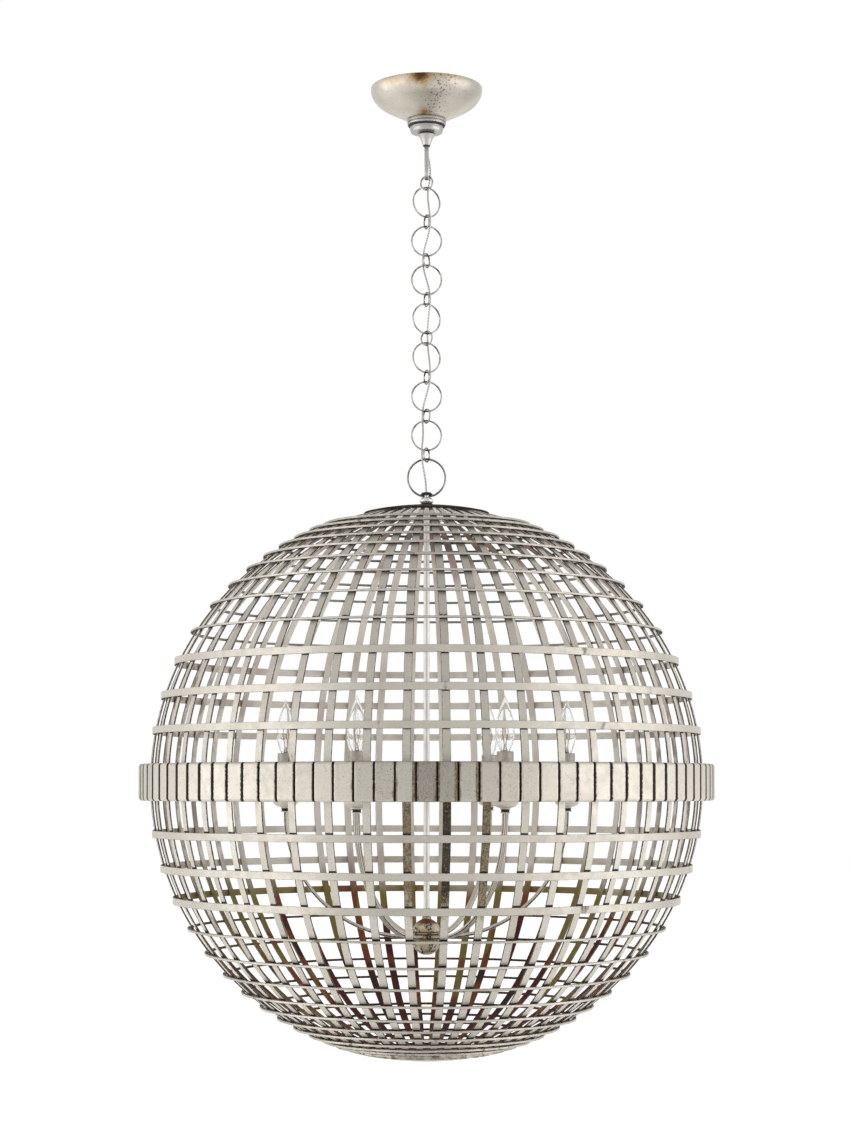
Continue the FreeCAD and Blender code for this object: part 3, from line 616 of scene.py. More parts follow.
def inner_finish(colours):
    """Inner faces of the ribs and rings: grey leaf in the middle, painted paler as lit from below;
    painted shade near the poles and, mottled, towards the left and right; and red, amber and olive
    ground in streaks below the belt, painted dark with the shade and reflections there."""
    f = Finish("inner_ground_lit_and_shaded")
    f.set(Metallic=0.0, Roughness=0.6, Specular_IOR_Level=0.25)
    split = f.node("ShaderNodeSeparateXYZ")
    f.link(f.coords, split.inputs["Vector"])
    aside, level = split.outputs["X"], split.outputs["Z"]
    belt = CAGE_Z
    uneven = f.add(level, f.times(f.noise(9.0, 1.0), 0.10))
    # Red, amber and olive ground below the belt, painted dark as the shade and reflection there
    low = f.between(uneven, belt + RED_BELOW[0], belt + RED_BELOW[1], 1.0, 0.0)
    depth = f.between(level, belt + OLIVE_ABOVE[0], belt + OLIVE_ABOVE[1], -0.06, 0.13)
    streaks = f.add(f.noise(12.0, 1.5, 0.5, (1.0, 1.0, 0.30)), depth)
    reds = f.mix(f.between(streaks, 0.45, 0.49), colours.russet, colours.amber)
    grounds = f.mix(f.between(streaks, 0.53, 0.57), reds, colours.olive)
    drift = (21.0, 1.5, 0.5, (1.0, 1.0, 0.4))
    below = f.patches(drift, 0.62, 0.67, grounds, colours.patina_and_shade)
    # Middle of the inner faces: grey leaf painted paler, as lit from below
    warm_lit_grey = blended(colours.lit_grey, colours.amber, 0.72)
    middle = f.patches((11.0, 2.0), 0.46, 0.66, colours.lit_grey, warm_lit_grey)
    # Painted shade near the upper pole, under the top plate, with amber patches
    high = f.between(uneven, belt + SHADE_ABOVE[0], belt + SHADE_ABOVE[1])
    top_shade = f.patches((40.0, 2.0), 0.46, 0.60, colours.patina_and_shade, colours.amber)
    upper = f.mix(f.times(high, 0.85), middle, top_shade)
    # Painted shade near the lower pole, with amber patches
    lowest = f.between(uneven, belt + SHADE_BELOW[0], belt + SHADE_BELOW[1], 0.8, 0.0)
    foot_shade = f.patches((70.0, 2.0), 0.44, 0.58, colours.patina_and_shade, colours.amber)
    # Mottled painted shade on the inner faces towards the left and right
    far_side = f.between(f.math("ABSOLUTE", aside), *SHADED_BEYOND)
    mottled = f.between(f.noise(34.0, 3.0, 0.6), 0.40, 0.62)
    side_shade = f.times(f.times(far_side, mottled), 0.75)
    lower = f.mix(lowest, below, foot_shade)
    both = f.mix(side_shade, f.mix(low, upper, lower), SIDE_SHADE)
    specked = f.patches((520.0, 2.0, 0.7), 0.62, 0.72, both, colours.patina_and_shade, 0.3)
    f.darkened(specked, colours.patina_and_shade)
    f.bump(f.noise(GRAIN, 3.0), 0.0005, 0.3)
    return f.material


def edge_finish(colours):
    """Cut sides of strips, where wax gathers, with painted shade where the skin is marked, as in
    the belt's joints.
    """
    f = Finish("waxed_and_shaded_edge")
    f.set(Metallic=0.5, Roughness=0.48)
    waxing = (60.0, 3.0, 0.6, (1.0, 1.0, 0.5))
    base = f.patches(waxing, 0.49, 0.68, scaled(colours.leaf, 0.92), colours.patina_and_shade)
    f.darkened(f.patches((480.0, 2.0), 0.52, 0.66, base, EDGE_FLECKS, 0.6), colours.patina_and_shade)
    f.bump(f.noise(GRAIN, 3.0), 0.0004, 0.3)
    return f.material


def canopy_finish(colours):
    """Leaf over the spun bowl: soft bands, greyer where the tone is marked, which holds painted
    shade and reflection, brown gold stains where marked, pits and cracks.
    """
    f = Finish("canopy_leaf")
    f.set(Metallic=0.6, Roughness=0.36)
    base = f.patches((30.0, 5.0, 0.6), 0.36, 0.70, colours.leaf, colours.warm)
    toned = f.mix(f.mark("tone"), base, scaled(colours.leaf, 0.50))
    uneven = f.ragged(150.0, 4.0, 0.7, size=0.9)
    halo = f.between(f.add(f.mark("stain"), uneven), 0.0, 0.95)
    golden = f.mix(f.times(halo, 0.9), toned, colours.gold)
    core = f.between(f.add(f.mark("stain"), uneven), 0.60, 1.20)
    browned = f.mix(core, golden, BURNT_GOLD)
    breaking = f.add(f.noise(330.0, 3.0, 0.7), f.times(f.mark("age"), 0.10))
    cracks = f.between(breaking, 0.675, 0.70)
    pits = f.between(f.noise(420.0, 2.0, 0.6), 0.72, 0.75)
    f.darkened(f.mix(f.most(cracks, pits), browned, colours.patina_and_shade), colours.patina_and_shade)
    f.rough(f.between(f.noise(60.0, 3.0), 0.3, 0.7, 0.28, 0.44))
    f.bump(f.noise(230.0, 4.0, 0.6), 0.0005, 0.25)
    return f.material


def hub_finish(colours):
    """Cream leaf broken by fine curling cracks, with red brown wax where marked."""
    f = Finish("hub_leaf")
    f.set(Metallic=0.3, Roughness=0.42)
    base = f.patches((70.0, 3.0), 0.40, 0.62, HUB_CREAM, HUB_TAN)
    uneven = f.ragged(190.0, 3.0, size=0.9)
    red = f.between(f.add(f.mark("stain"), uneven), 0.30, 0.75)
    stained = f.mix(red, base, HUB_RED)
    contour = f.math("ABSOLUTE", f.ragged(120.0, 3.0, 0.6))
    cracks = f.between(contour, 0.030, 0.050, 1.0, 0.0)
    broken = f.times(cracks, f.between(f.noise(60.0, 1.0), 0.40, 0.50))
    soot = f.between(f.add(f.mark("soot"), f.ragged(420.0, 2.0)), 0.42, 0.66)
    f.colour(f.mix(f.most(broken, soot), stained, colours.patina_and_shade))
    f.bump(f.noise(230.0, 3.0), 0.0004, 0.3)
    return f.material


def plain_finish(name, colour, metal, rough, grain, depth=0.72, specular=0.5):
    """A made part with a fine grain: plated steel, moulded plastic or brass."""
    f = Finish(name)
    f.set(Metallic=metal, Roughness=rough, Specular_IOR_Level=specular)
    f.colour(f.patches((grain, 3.0), 0.35, 0.65, colour, scaled(colour, depth)))
    f.bump(f.noise(grain * 3, 2.0), 0.0002, 0.25)
    return f.material


def glass_finish():
    """Clear blown glass, a little uneven."""
    f = Finish("clear_glass")
    clear = (0.98, 0.985, 0.98, 1.0)
    f.set(Roughness=0.0, IOR=1.47, Transmission_Weight=1.0, Base_Color=clear)
    f.bump(f.noise(34.0, 2.0), 0.0012, 0.25)
    return f.material


def cord_finish():
    """A clear sleeve over twisted tinned wire."""
    f = Finish("tinned_cord")
    f.set(Metallic=0.35, Roughness=0.3, Coat_Weight=0.6, Coat_Roughness=0.08)
    twist = f.node("ShaderNodeTexWave", bands_direction="DIAGONAL")
    twist.inputs["Scale"].default_value = 190.0
    f.link(f.coords, twist.inputs["Vector"])
    strands = f.between(twist.outputs["Fac"], 0.2, 0.8)
    f.colour(f.mix(strands, (0.26, 0.25, 0.235), (0.60, 0.58, 0.55)))
    f.bump(twist.outputs["Fac"], 0.0003, 0.4)
    return f.material


def floor_finish():
    """A pale floor that looks white and still takes light and shadow."""
    f = Finish("pale_floor")
    f.tree.nodes.remove(f.shader)
    diffuse = f.node("ShaderNodeBsdfDiffuse")
    diffuse.inputs["Color"].default_value = (0.9, 0.9, 0.89, 1.0)
    glow = f.node("ShaderNodeEmission")
    glow.inputs["Color"].default_value = (1.0, 1.0, 1.0, 1.0)
    f.link(f.seen_rays(0.72, 0.45), glow.inputs["Strength"])
    both = f.node("ShaderNodeAddShader")
    f.link(diffuse.outputs[0], both.inputs[0])
    f.link(glow.outputs[0], both.inputs[1])
    f.link(both.outputs[0], f.tree.nodes["Material Output"].inputs["Surface"])
    return f.material


def leaf_over(name, brightness, **looks):
    """Makes a leaf finish from the leaf colour at a given brightness."""
    return lambda c: leaf_finish(name, scaled(c.leaf, brightness), c.warm, **looks)


def plain(name, colour, *looks):
    return lambda c: plain_finish(name, colour, *looks)


MAKERS = {
    "rib": leaf_over("rib_leaf", 0.98, wear=0.6),
    "ring": leaf_over("ring_leaf", 0.90, wear=0.4),
    "belt": leaf_over("belt_leaf", 0.98, wear=0.7, ground=0.4),
    "lamp": leaf_over("lamp_leaf", 1.3, metal=0.4, rough=0.38, wear=0.3, ground=0.3),
    "chain": lambda c: leaf_finish("chain_leaf", WIRE_GREY, WIRE_WARM, 0.7, 0.30, 0.2, 0.3),
    "neck": lambda c: leaf_finish("neck_leaf", NECK_PALE, c.warm, 0.6, 0.30, 0.0, 0.1, 0.05),
    "hub": hub_finish,
    "inner": inner_finish,
    "edge": edge_finish,
    "canopy": canopy_finish,
    "rod": plain("rod_leaf", (0.74, 0.72, 0.68), 0.5, 0.32, 60.0, 0.9),
    # Upper plate: underside painted pale as lit from below, top painted near black as shade
    "pale": plain("lit_plate_underside", (0.95, 0.94, 0.92), 0.3, 0.4, 90.0, 0.96),
    "dark": plain("shaded_top", (0.050, 0.041, 0.033), 0.0, 0.85, 90.0, 0.6, 0.1),
    "plated": plain("plated_steel", (0.55, 0.55, 0.54), 0.9, 0.35, 120.0),
    "brass": plain("brass_cap", (0.60, 0.44, 0.20), 0.9, 0.3, 150.0),
    "moulded": plain("moulded_holder", (0.05, 0.05, 0.05), 0.0, 0.45, 150.0),
    # Filament painted orange brown, as the orange glints near the base of the bulbs
    "filament": plain("filament_wire", (0.50, 0.17, 0.035), 0.2, 0.4, 300.0, 0.5),
    "glass": lambda c: glass_finish(),
    "cord": lambda c: cord_finish(),
    "floor": lambda c: floor_finish(),
}
FINISHES = {}


def finish(name):
    """Each material is made once, when a piece first asks for it."""
    if name not in FINISHES:
        FINISHES[name] = MAKERS[name](bpy.context.scene.orb_colours)
    return FINISHES[name]


def clothe(node, name):
    """Give one of the frame's own pieces its finish."""
    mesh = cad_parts[node].data
    mesh.materials.clear()
    mesh.materials.append(finish(name))


# Cage

# How far the corners of rings and ribs are eased, and how far from true both are
RING_EASE = 0.0004
RIB_EASE = 0.00045
UNEVEN = 0.00035
RING_SEGMENTS = 288
RIB_STATIONS = 97
# Painted shade in the crevice where a rib meets a ring: share of the ring's full height above and
# below the belt, and its soft end
CREVICE_SHADE_SHARES = {1: 0.65, -1: 1.1}
CREVICE_SHADE_FADE = 0.0004
# Height over which the ribs' upper ends turn black, and how black on two ribs of every four:
# painted shade of the gaps under the top plate
END_SHADE_FROM = 0.3535
END_SHADE_OVER = 0.004
END_SHADE = 0.9
# Stain of the ribs near the lower pole, and the height below which it grows over a distance
FOOT_STAIN = (0.40, -0.28, 0.06)
# Share of the other ribs that have one stained place
SPOTTED_RIBS = 0.22
# Stained places on each ring, their spread round it, and the extra stain of each ring below one
RING_STAINS = 5
RING_STAIN_SPREAD = 0.03
LOW_RING = 9
LOW_RING_STAIN = 0.07
# Ribs worn to the ground below the belt: flecks, brown stain and dark wax of each; on the front
# ribs 0, 1 and 47 this is partly painted reflection of the dark surroundings in front
WORN_RIBS = {
    0: (0.9, 0.75, 0.62), 1: (0.8, 0.70, 0.10), 47: (0.8, 0.62, 0.15),
    17: (0.6, 0.45, 0.2), 31: (0.7, 0.5, 0.4),
}
# Heights at which the wear starts and ends, each with the distance over which it fades in
WORN_TOP = (-0.016, 0.006)
WORN_FOOT = (-0.19, 0.06)


def ring_heights(cage, half):
    """Each ring's number and distance from the equator: windows come out about as tall as
    wide."""
    count = cage.upper_rings if half > 0 else cage.lower_rings
    numbers = np.arange(1, count + 1)
    rises = cage.first_shift + FULL_TURN / cage.rib_count * numbers
    heights = cage.radius * np.sin(2 * np.arctan(np.exp(rises)) - math.pi / 2)
    if half > 0:
        heights[:len(UPPER_LIFTS)] += UPPER_LIFTS
    return list(zip(numbers.tolist(), heights.tolist()))


def ring_kind(cage, index):
    """Height and width of a ring's strip."""
    upright = index <= cage.hoops
    return (cage.hoop_height, cage.hoop_thick) if upright else (cage.ring_thick, cage.ring_width)


def ring_seat(cage, near):
    """Inner radius of a ring, which rests on the ribs at its side nearer the equator."""
    clearance = 0.00004
    return math.hypot(math.sqrt(cage.rib_face ** 2 - near ** 2), cage.rib_width / 2) + clearance


def rib_stations(cage):
    """Heights from pole to pole at which a rib has a section, with the painted shade at each, in
    the crevices beside the rings.
    """
    end = math.acos(cage.rib_end / cage.rib_face)
    heights = list(cage.rib_face * np.sin(np.linspace(-end, end, RIB_STATIONS)))
    crevice_shades = []
    for half in (1, -1):
        for index, height in ring_heights(cage, half):
            tall, _ = ring_kind(cage, index)
            latitude = math.asin(height / cage.radius)
            growth = 0.5 + min(1.0, index / 8)
            depth = cage.crevice * CREVICE_SHADE_SHARES[half] * growth * math.cos(latitude)
            face = half * (height - tall / 2)
            edge = face - half * depth
            crevice_shades.append((min(face, edge), max(face, edge)))
            heights += [face, edge, edge - half * CREVICE_SHADE_FADE]
    limit = cage.rib_face * math.sin(end)
    heights = np.array(sorted(set(np.round([h for h in heights if abs(h) <= limit], 6))))
    soot = np.zeros(len(heights))
    for low, high in crevice_shades:
        soot[(heights >= low - 1e-6) & (heights <= high + 1e-6)] = 1.0
    return heights, soot


class ORB_OT_ribs(bpy.types.Operator):
    """Make the flat ribs from pole to pole"""
    bl_idname = "orb.ribs"
    bl_label = "Ribs"

    def execute(self, context):
        cage = context.scene.orb_cage
        heights, crevice_shades = rib_stations(cage)
        middle = cage.rib_face - cage.rib_thick / 2
        radii = np.sqrt(np.maximum(middle ** 2 - heights ** 2, 1e-9))
        narrowing = np.clip((cage.rib_taper - radii) / (cage.rib_taper - cage.rib_end), 0, 1)
        halves = (cage.rib_width - (cage.rib_width - cage.rib_end_width) * narrowing) / 2
        sections = np.array([self.section(cage, half) for half in halves])
        # Round the section: finish of each step, and outer points and soot of each point
        kinds = [0, 0, 0, 0, 1, 2, 2, 2, 1, 0]
        front = np.array([1, 1, 1, 1, 1, 0, 0, 0, 0, 1])
        edges = np.array([0.5, 0.0, 0.0, 0.5, 0.66, 0.5, 0.15, 0.15, 0.5, 0.66])
        # Edge lines, and on the front faces the painted shade in the crevices at the rings
        soot = np.maximum(edges, crevice_shades[:, None] * front)
        ends = np.clip((heights - END_SHADE_FROM) / END_SHADE_OVER, 0, 1)[:, None]
        skin = Skin()
        chance = np.random.RandomState(5)
        for i in range(cage.rib_count):
            radial, across = outwards_at(FRONT + FULL_TURN * (i + 0.5) / cage.rib_count)
            path = radii[:, None] * radial
            path[:, 2] = CAGE_Z + heights
            path = path + wobble(heights * 9, 40 + i, UNEVEN)[:, None] * across
            age, stain, wax_and_shade = self.wear(chance, i, heights)
            tone = chance.uniform(0.0, 0.45)
            rows = sweep(path, sections * (1.0, -1.0), across)
            # Two ribs of every four have black upper ends: painted shade under the top plate
            end_shade = ends * (END_SHADE if i % 4 in (0, 3) else 0.0)
            wax_and_end_shade = np.maximum(wax_and_shade[:, None] * front, end_shade)
            skin.add(rows, finish=kinds, soot=np.maximum(soot, wax_and_end_shade),
                     tone=tone, age=age, stain=stain)
        place(skin.build("ribs", "rib", "edge", "inner"), "cage", "cage_leaf", "cage_ribs")
        return {"FINISHED"}

    def section(self, cage, half):
        """A rib's section as (across, out) points, with a narrow run along each outer edge for
        the wax."""
        t = cage.rib_thick / 2
        near = half - RIB_EASE
        return [
            (-near, t), (-near + cage.line, t), (near - cage.line, t), (near, t),
            (half, t - RIB_EASE), (half, RIB_EASE - t), (near, -t), (-near, -t),
            (-half, RIB_EASE - t), (-half, t - RIB_EASE),
        ]

    def wear(self, chance, index, heights):
        """Flecks, brown stain and dark wax along one rib."""
        age = np.full(len(heights), chance.uniform(0.0, 0.18))
        stain = np.zeros(len(heights))
        wax_and_shade = np.zeros(len(heights))
        # Worn ribs: wear, and on the front ribs partly painted reflection
        if index in WORN_RIBS:
            (top, top_fade), (foot, foot_fade) = WORN_TOP, WORN_FOOT
            under_belt = np.clip((top - heights) / top_fade, 0, 1)
            below = np.clip((heights - foot) / foot_fade, 0, 1) * under_belt
            flecks, brown, dark = WORN_RIBS[index]
            age += below * flecks
            stain += below * brown
            wax_and_shade += below * dark
        elif chance.uniform() < SPOTTED_RIBS:
            spot, reach = chance.uniform(-0.30, 0.30), chance.uniform(0.006, 0.03)
            stain += np.exp(-((heights - spot) / reach) ** 2) * chance.uniform(0.25, 0.5)
        size, start, over = FOOT_STAIN
        stain += size * np.clip((start - heights) / over, 0, 1)
        return age, stain, wax_and_shade


def ring_rows(cage, tall, wide, level, seed):
    """Sections of one ring, whose strip is tall and wide, at a level above or below the
    equator."""
    seat = ring_seat(cage, abs(level) - tall / 2)
    near = tall / 2 - RING_EASE
    profile = np.array([
        (wide, -near), (wide, -near + cage.line), (wide, near - cage.line), (wide, near),
        (wide - RING_EASE, tall / 2), (RING_EASE, tall / 2), (0, near), (0, -near),
        (RING_EASE, -tall / 2), (wide - RING_EASE, -tall / 2),
    ])
    profile += (seat, CAGE_Z + level)
    rows = turn(profile, RING_SEGMENTS)
    rows[:, :, 2] += wobble(round_angles(RING_SEGMENTS), seed, UNEVEN)[:, None]
    return rows


class ORB_OT_rings(bpy.types.Operator):
    """Make the hoops and the flat rings outside the ribs"""
    bl_idname = "orb.rings"
    bl_label = "Rings"

    def execute(self, context):
        cage = context.scene.orb_cage
        chance = np.random.RandomState(11)
        for half, end, node_end in ((1, "_above", "upper_"), (-1, "_below", "lower_")):
            members = ring_heights(cage, half)
            groups = (("hoops", members[:cage.hoops]), ("rings", members[cage.hoops:]))
            for kind, group in groups:
                skin = Skin()
                for index, height in group:
                    self.ring(skin, cage, chance, index, half, height)
                piece = skin.build(kind + end, "ring", "edge", "inner")
                place(piece, "cage", "cage_leaf", node_end + kind)
        self.backing(cage)
        return {"FINISHED"}

    def ring(self, skin, cage, chance, index, half, height):
        """One ring, with a few stained places and with painted shade on the inner edge of the flat
        ones.
        """
        tall, wide = ring_kind(cage, index)
        rows = ring_rows(cage, tall, wide, half * height, 70 + index * 2 + (half > 0))
        # Round the section: finish of each step and the dark wax of each point, with painted shade
        # on the inner edge
        hoop = index <= cage.hoops
        kinds = [0, 0, 0, 0, 0, 1, 2, 1, 0, 0] if hoop else [0, 0, 0, 0, 0, 0, 2, 0, 0, 0]
        # Painted shade on the inner edge, darker on the flat rings than on the hoops
        inner = 0.2 if hoop else 0.52
        soot = [[0.46, 0.0, 0.0, 0.38, 0.5, 0.6, inner, inner, 0.6, 0.62]]
        angles = round_angles(RING_SEGMENTS)
        tone = chance.uniform(0.1, 0.4) + 0.15 * wobble(angles * 3, index, 1.0)
        stain = np.zeros(len(angles))
        for _ in range(RING_STAINS):
            away = (angles - chance.uniform(0, FULL_TURN)) / RING_STAIN_SPREAD
            stain += np.exp(-away ** 2) * chance.uniform(0.2, 0.5)
        if half < 0:
            stain += LOW_RING_STAIN * max(0, index - LOW_RING)
        skin.add(rows, closed=True, finish=kinds, tone=np.clip(tone, 0, 1), age=0.1,
                 stain=stain, soot=soot)

    def backing(self, cage):
        """The two upright hoops that close the belt from behind: painted black outside, as the
        shade behind the strips' joints, and clean leaf inside."""
        skin = Skin()
        low, high = levels("belt_strips")
        top = (high - low) / 2
        # Painted shade: black on the outer face seen through the joints
        soot = [[1.0, 1.0, 1.0, 1.0, 0.8, 0.4, 0.0, 0.0, 0.4, 0.8]]
        for half in (1, -1):
            level = half * (top + cage.split / 2) / 2
            rows = ring_rows(cage, top - cage.split / 2, cage.hoop_thick, level, 200)
            skin.add(rows, closed=True, finish=[0, 0, 0, 0, 0, 1, 1, 1, 0, 0], soot=soot)
        piece = skin.build("hoops_behind_belt", "edge", "inner")
        place(piece, "cage", "cage_leaf", "equator_hoops")


# The belt's strips: angles round the bend at a side, and the marked spots near the sides
SIDE_ANGLES = (0, 25, 45, 68, 90)
LEFT_SPOTS = (0.0034,)
RIGHT_SPOTS = (0.0046, 0.0036, 0.0028)
BEND_STEPS = 6
BELT_CLEARANCE = 0.0002
# Painted shade grows on strips that face left or right: darker joints, and greyer, browner leaf
# from this share of sideways
SIDE_SHADE_FROM = 0.86
# Strips round which the leaf is stained, and how strongly; how many strips past these the
# middle of the stain lies, and how many it reaches. At the front strip, 0, it is partly painted
# reflection of the dark surroundings in front
STAINED_STRIPS = {0: 1.0, 27: 0.7, 46: 0.8, 69: 0.6}
STAIN_SHIFT = 0.6
STAIN_REACH = 3.2


class ORB_OT_belt(bpy.types.Operator):
    """Make the belt of bent strips round the equator"""
    bl_idname = "orb.belt"
    bl_label = "Belt"

    def execute(self, context):
        belt = context.scene.orb_belt
        outer = radius_of("belt_strips")
        outline, front = self.outline(belt, context.scene.orb_cage, outer)
        kinds = [0] * (front - 1) + [1] * (len(outline) - front + 1)
        lip = np.zeros(len(outline))
        lip[[0, 1, front - 2, front - 1]] = 0.55
        lip[[2, front - 3]] = 0.42
        half = outer * math.tan(math.pi / belt.strips) - belt.gap / 2
        spots = self.spots(belt, half)
        skin = Skin()
        chance = np.random.RandomState(23)
        for i in range(belt.strips):
            turned = FRONT + FULL_TURN * i / belt.strips
            rows = self.strip(outline, outer, spots, turned)
            tone, age, left, right, crack = self.wear(chance, i, belt.strips)
            # Painted shade on strips that face left or right: greyer, browner leaf and darker
            # joints
            sideways = abs(math.cos(turned)) ** 1.5
            wear_and_shade = max(0.0, (sideways - SIDE_SHADE_FROM) / (1.0 - SIDE_SHADE_FROM))
            tone += 0.7 * wear_and_shade
            left += 0.40 * wear_and_shade
            right += 0.40 * wear_and_shade
            wax_and_shade = [1.0, 1.0, 0.60 + 0.40 * sideways, 0.12 + 0.88 * sideways, sideways]
            side = np.array(wax_and_shade + [0.0, 0.0, crack, 0.0] + wax_and_shade[::-1])
            middle = [0.3 * left, 0.2 * right, 0.9 * right, 0.6 * right]
            stain = np.array([left] * 5 + middle + [right] * 5)
            skin.add(rows, finish=kinds, tone=tone, age=age, stain=stain, caps=False,
                     soot=np.maximum(side[:, None], lip[None]))
            self.cap(skin, rows)
        place(skin.build("belt", "belt", "inner", "edge"), "cage", "belt_leaf", "belt_strips")
        return {"FINISHED"}

    def outline(self, belt, cage, outer):
        """Section of the bent sheet as (distance, height) points, the outer face first, and how
        many of them are on that face."""
        low, high = levels("belt_strips")
        top = (high - low) / 2
        back = cage.rib_face + cage.hoop_thick + BELT_CLEARANCE
        arc = np.linspace(0, math.pi / 2, BEND_STEPS)
        middle, level = outer - belt.bend, top - belt.bend

        def bent(radius):
            return [(middle + radius * math.sin(t), level + radius * math.cos(t)) for t in arc]

        outside = [(back, top)] + bent(belt.bend)
        inside = bent(belt.bend - belt.sheet)[::-1] + [(back, top - belt.sheet)]
        below = [(r, -z) for r, z in outside[::-1]] + [(r, -z) for r, z in inside[::-1]]
        return np.array(outside + below + inside), 2 * len(outside)

    def spots(self, belt, half):
        """Places across a strip, each with how far its rounded side draws in there."""
        rounded = [(belt.edge * (1 - math.cos(t)), belt.edge * (1 - math.sin(t)))
                   for t in np.radians(SIDE_ANGLES)]
        spots = [(-half + inset, draw) for inset, draw in rounded]
        spots += [(inset - half, 0.0) for inset in LEFT_SPOTS]
        spots += [(half - inset, 0.0) for inset in RIGHT_SPOTS]
        return spots + [(half - inset, draw) for inset, draw in rounded[::-1]]

    def strip(self, outline, outer, spots, turned):
        """Sections across one strip, which narrows towards its back."""
        radial, across = (way[:2] for way in outwards_at(turned))
        mean = np.array([outline[:, 0].mean(), 0.0])
        rows = []
        for spot, draw in spots:
            shape = outline - np.sign(outline - mean) * draw * 0.8
            reach = shape[:, 0] / outer
            flat = np.outer(shape[:, 0], radial) + np.outer(spot * (0.25 + 0.75 * reach), across)
            rows.append(np.column_stack([flat, CAGE_Z + shape[:, 1]]))
        return np.array(rows)

    def wear(self, chance, index, count):
        """Greyness, flecks, and the stains at the two sides of one strip, which come in groups."""
        near = 0.0
        # Stained groups; at the front strip partly painted reflection
        for spot, size in STAINED_STRIPS.items():
            away = (index - STAIN_SHIFT - spot + count / 2) % count - count / 2
            near = max(near, size * math.exp(-(away / STAIN_REACH) ** 2))
        tone = chance.uniform(0.0, 0.25) + near * chance.uniform(0.35, 0.95)
        age = chance.uniform(0.0, 0.1) + near * chance.choice([0.2, 0.5, 0.65])
        left = chance.uniform(0.0, 0.25) + near * chance.uniform(0.15, 0.55)
        right = chance.uniform(0.0, 0.25) + near * chance.uniform(0.3, 0.65)
        crack = near * chance.choice([0.35, 0.55, 0.75])
        return tone, age, left, right, crack

    def cap(self, skin, rows):
        """Close a strip's two sides, painted black as the shade in the joints."""
        half = rows.shape[1] // 2
        for side in (rows[0], rows[-1]):
            pairs = np.array([side[:half], side[half:][::-1]]).transpose(1, 0, 2)
            skin.add(pairs, ring=False, caps=False, finish=2, soot=1.0)


PLATE_THICK = 0.0025
PLATE_RADIUS = 0.084
PLATE_SEGMENTS = 96


class ORB_OT_plates(bpy.types.Operator):
    """Make the dished plates over the ends of the ribs"""
    bl_idname = "orb.plates"
    bl_label = "Plates"

    def execute(self, context):
        cage = context.scene.orb_cage
        # Upper plate: underside painted pale as lit from below, top painted near black as shade
        self.plate(cage, "upper_plate", "top_plate", 1, 0.0043, ("pale", "dark", "edge"))
        self.plate(cage, "lower_plate", "bottom_plate", -1, 0.0, ("inner", "rib", "edge"))
        return {"FINISHED"}

    def plate(self, cage, name, node, half, hole, finishes):
        """One plate, with a hole for the rod where a radius is given."""
        inner = cage.rib_face + 0.0003
        outer = inner + PLATE_THICK
        edge = math.asin(PLATE_RADIUS / inner)
        rises = np.linspace(edge, math.asin(hole / outer) if hole else 0.0005, 12)
        under, over = (
            [(r * math.sin(t), half * r * math.cos(t) + CAGE_Z) for t in rises]
            for r in (inner, outer)
        )
        profile = over + under[::-1]
        kinds = [1] * (len(over) - 1) + [2] + [0] * (len(under) - 1) + [1]
        turned_piece(name, finishes, ("cage", "cage_leaf", node), profile, PLATE_SEGMENTS,
                     finish=kinds, tone=0.3, age=0.2, soot={len(over) - 1: 1.0, len(over): 1.0})


# Canopy and chain

# The bowl as shares of its radius and its depth, from the rim down
BOWL = (
    (1.0, 0.0), (0.999, 0.08), (0.990, 0.17), (0.968, 0.28), (0.920, 0.41), (0.857, 0.52),
    (0.764, 0.63), (0.640, 0.75), (0.520, 0.855), (0.420, 0.945), (0.357, 1.0),
)
BOWL_THICK = 0.0012
BOWL_SEGMENTS = 128
CANOPY_BORE = 0.0122
# Stains: where round the bowl in degrees, share of its depth, spread round and down, strength
CANOPY_STAINS = (
    (-96.0, 0.05, 11.0, 0.36, 1.2), (-97.0, 0.98, 20.0, 0.11, 0.85),
    (-62.0, 0.08, 22.0, 0.12, 0.45), (-128.0, 0.12, 20.0, 0.18, 0.45),
    (20.0, 0.2, 9.0, 0.2, 0.8), (118.0, 0.9, 14.0, 0.15, 0.7),
)
# Cracked places, with one spread for all, and grey places with their spread and strength:
# painted shade and reflection, darkest at the front right, weaker at the front, two more further
# round
CANOPY_CRACKS = (-75.0, 60.0)
CRACK_SPREAD = 24.0
CANOPY_SHADES = (
    (-35.0, 24.0, 0.62), (-78.0, 20.0, 0.22), (75.0, 30.0, 0.5), (170.0, 26.0, 0.4),
)
# Greyness all over, and the level and spread down the bowl at which the painted grey places lie
CANOPY_TONE = 0.12
SHADE_LEVEL = 0.35
SHADE_TALL = 0.42
COLLAR_SEGMENTS = 144
# Share by which every other step of the collar's milled rim is smaller, and its points
MILLING = 0.006
MILLED = slice(10, 13)


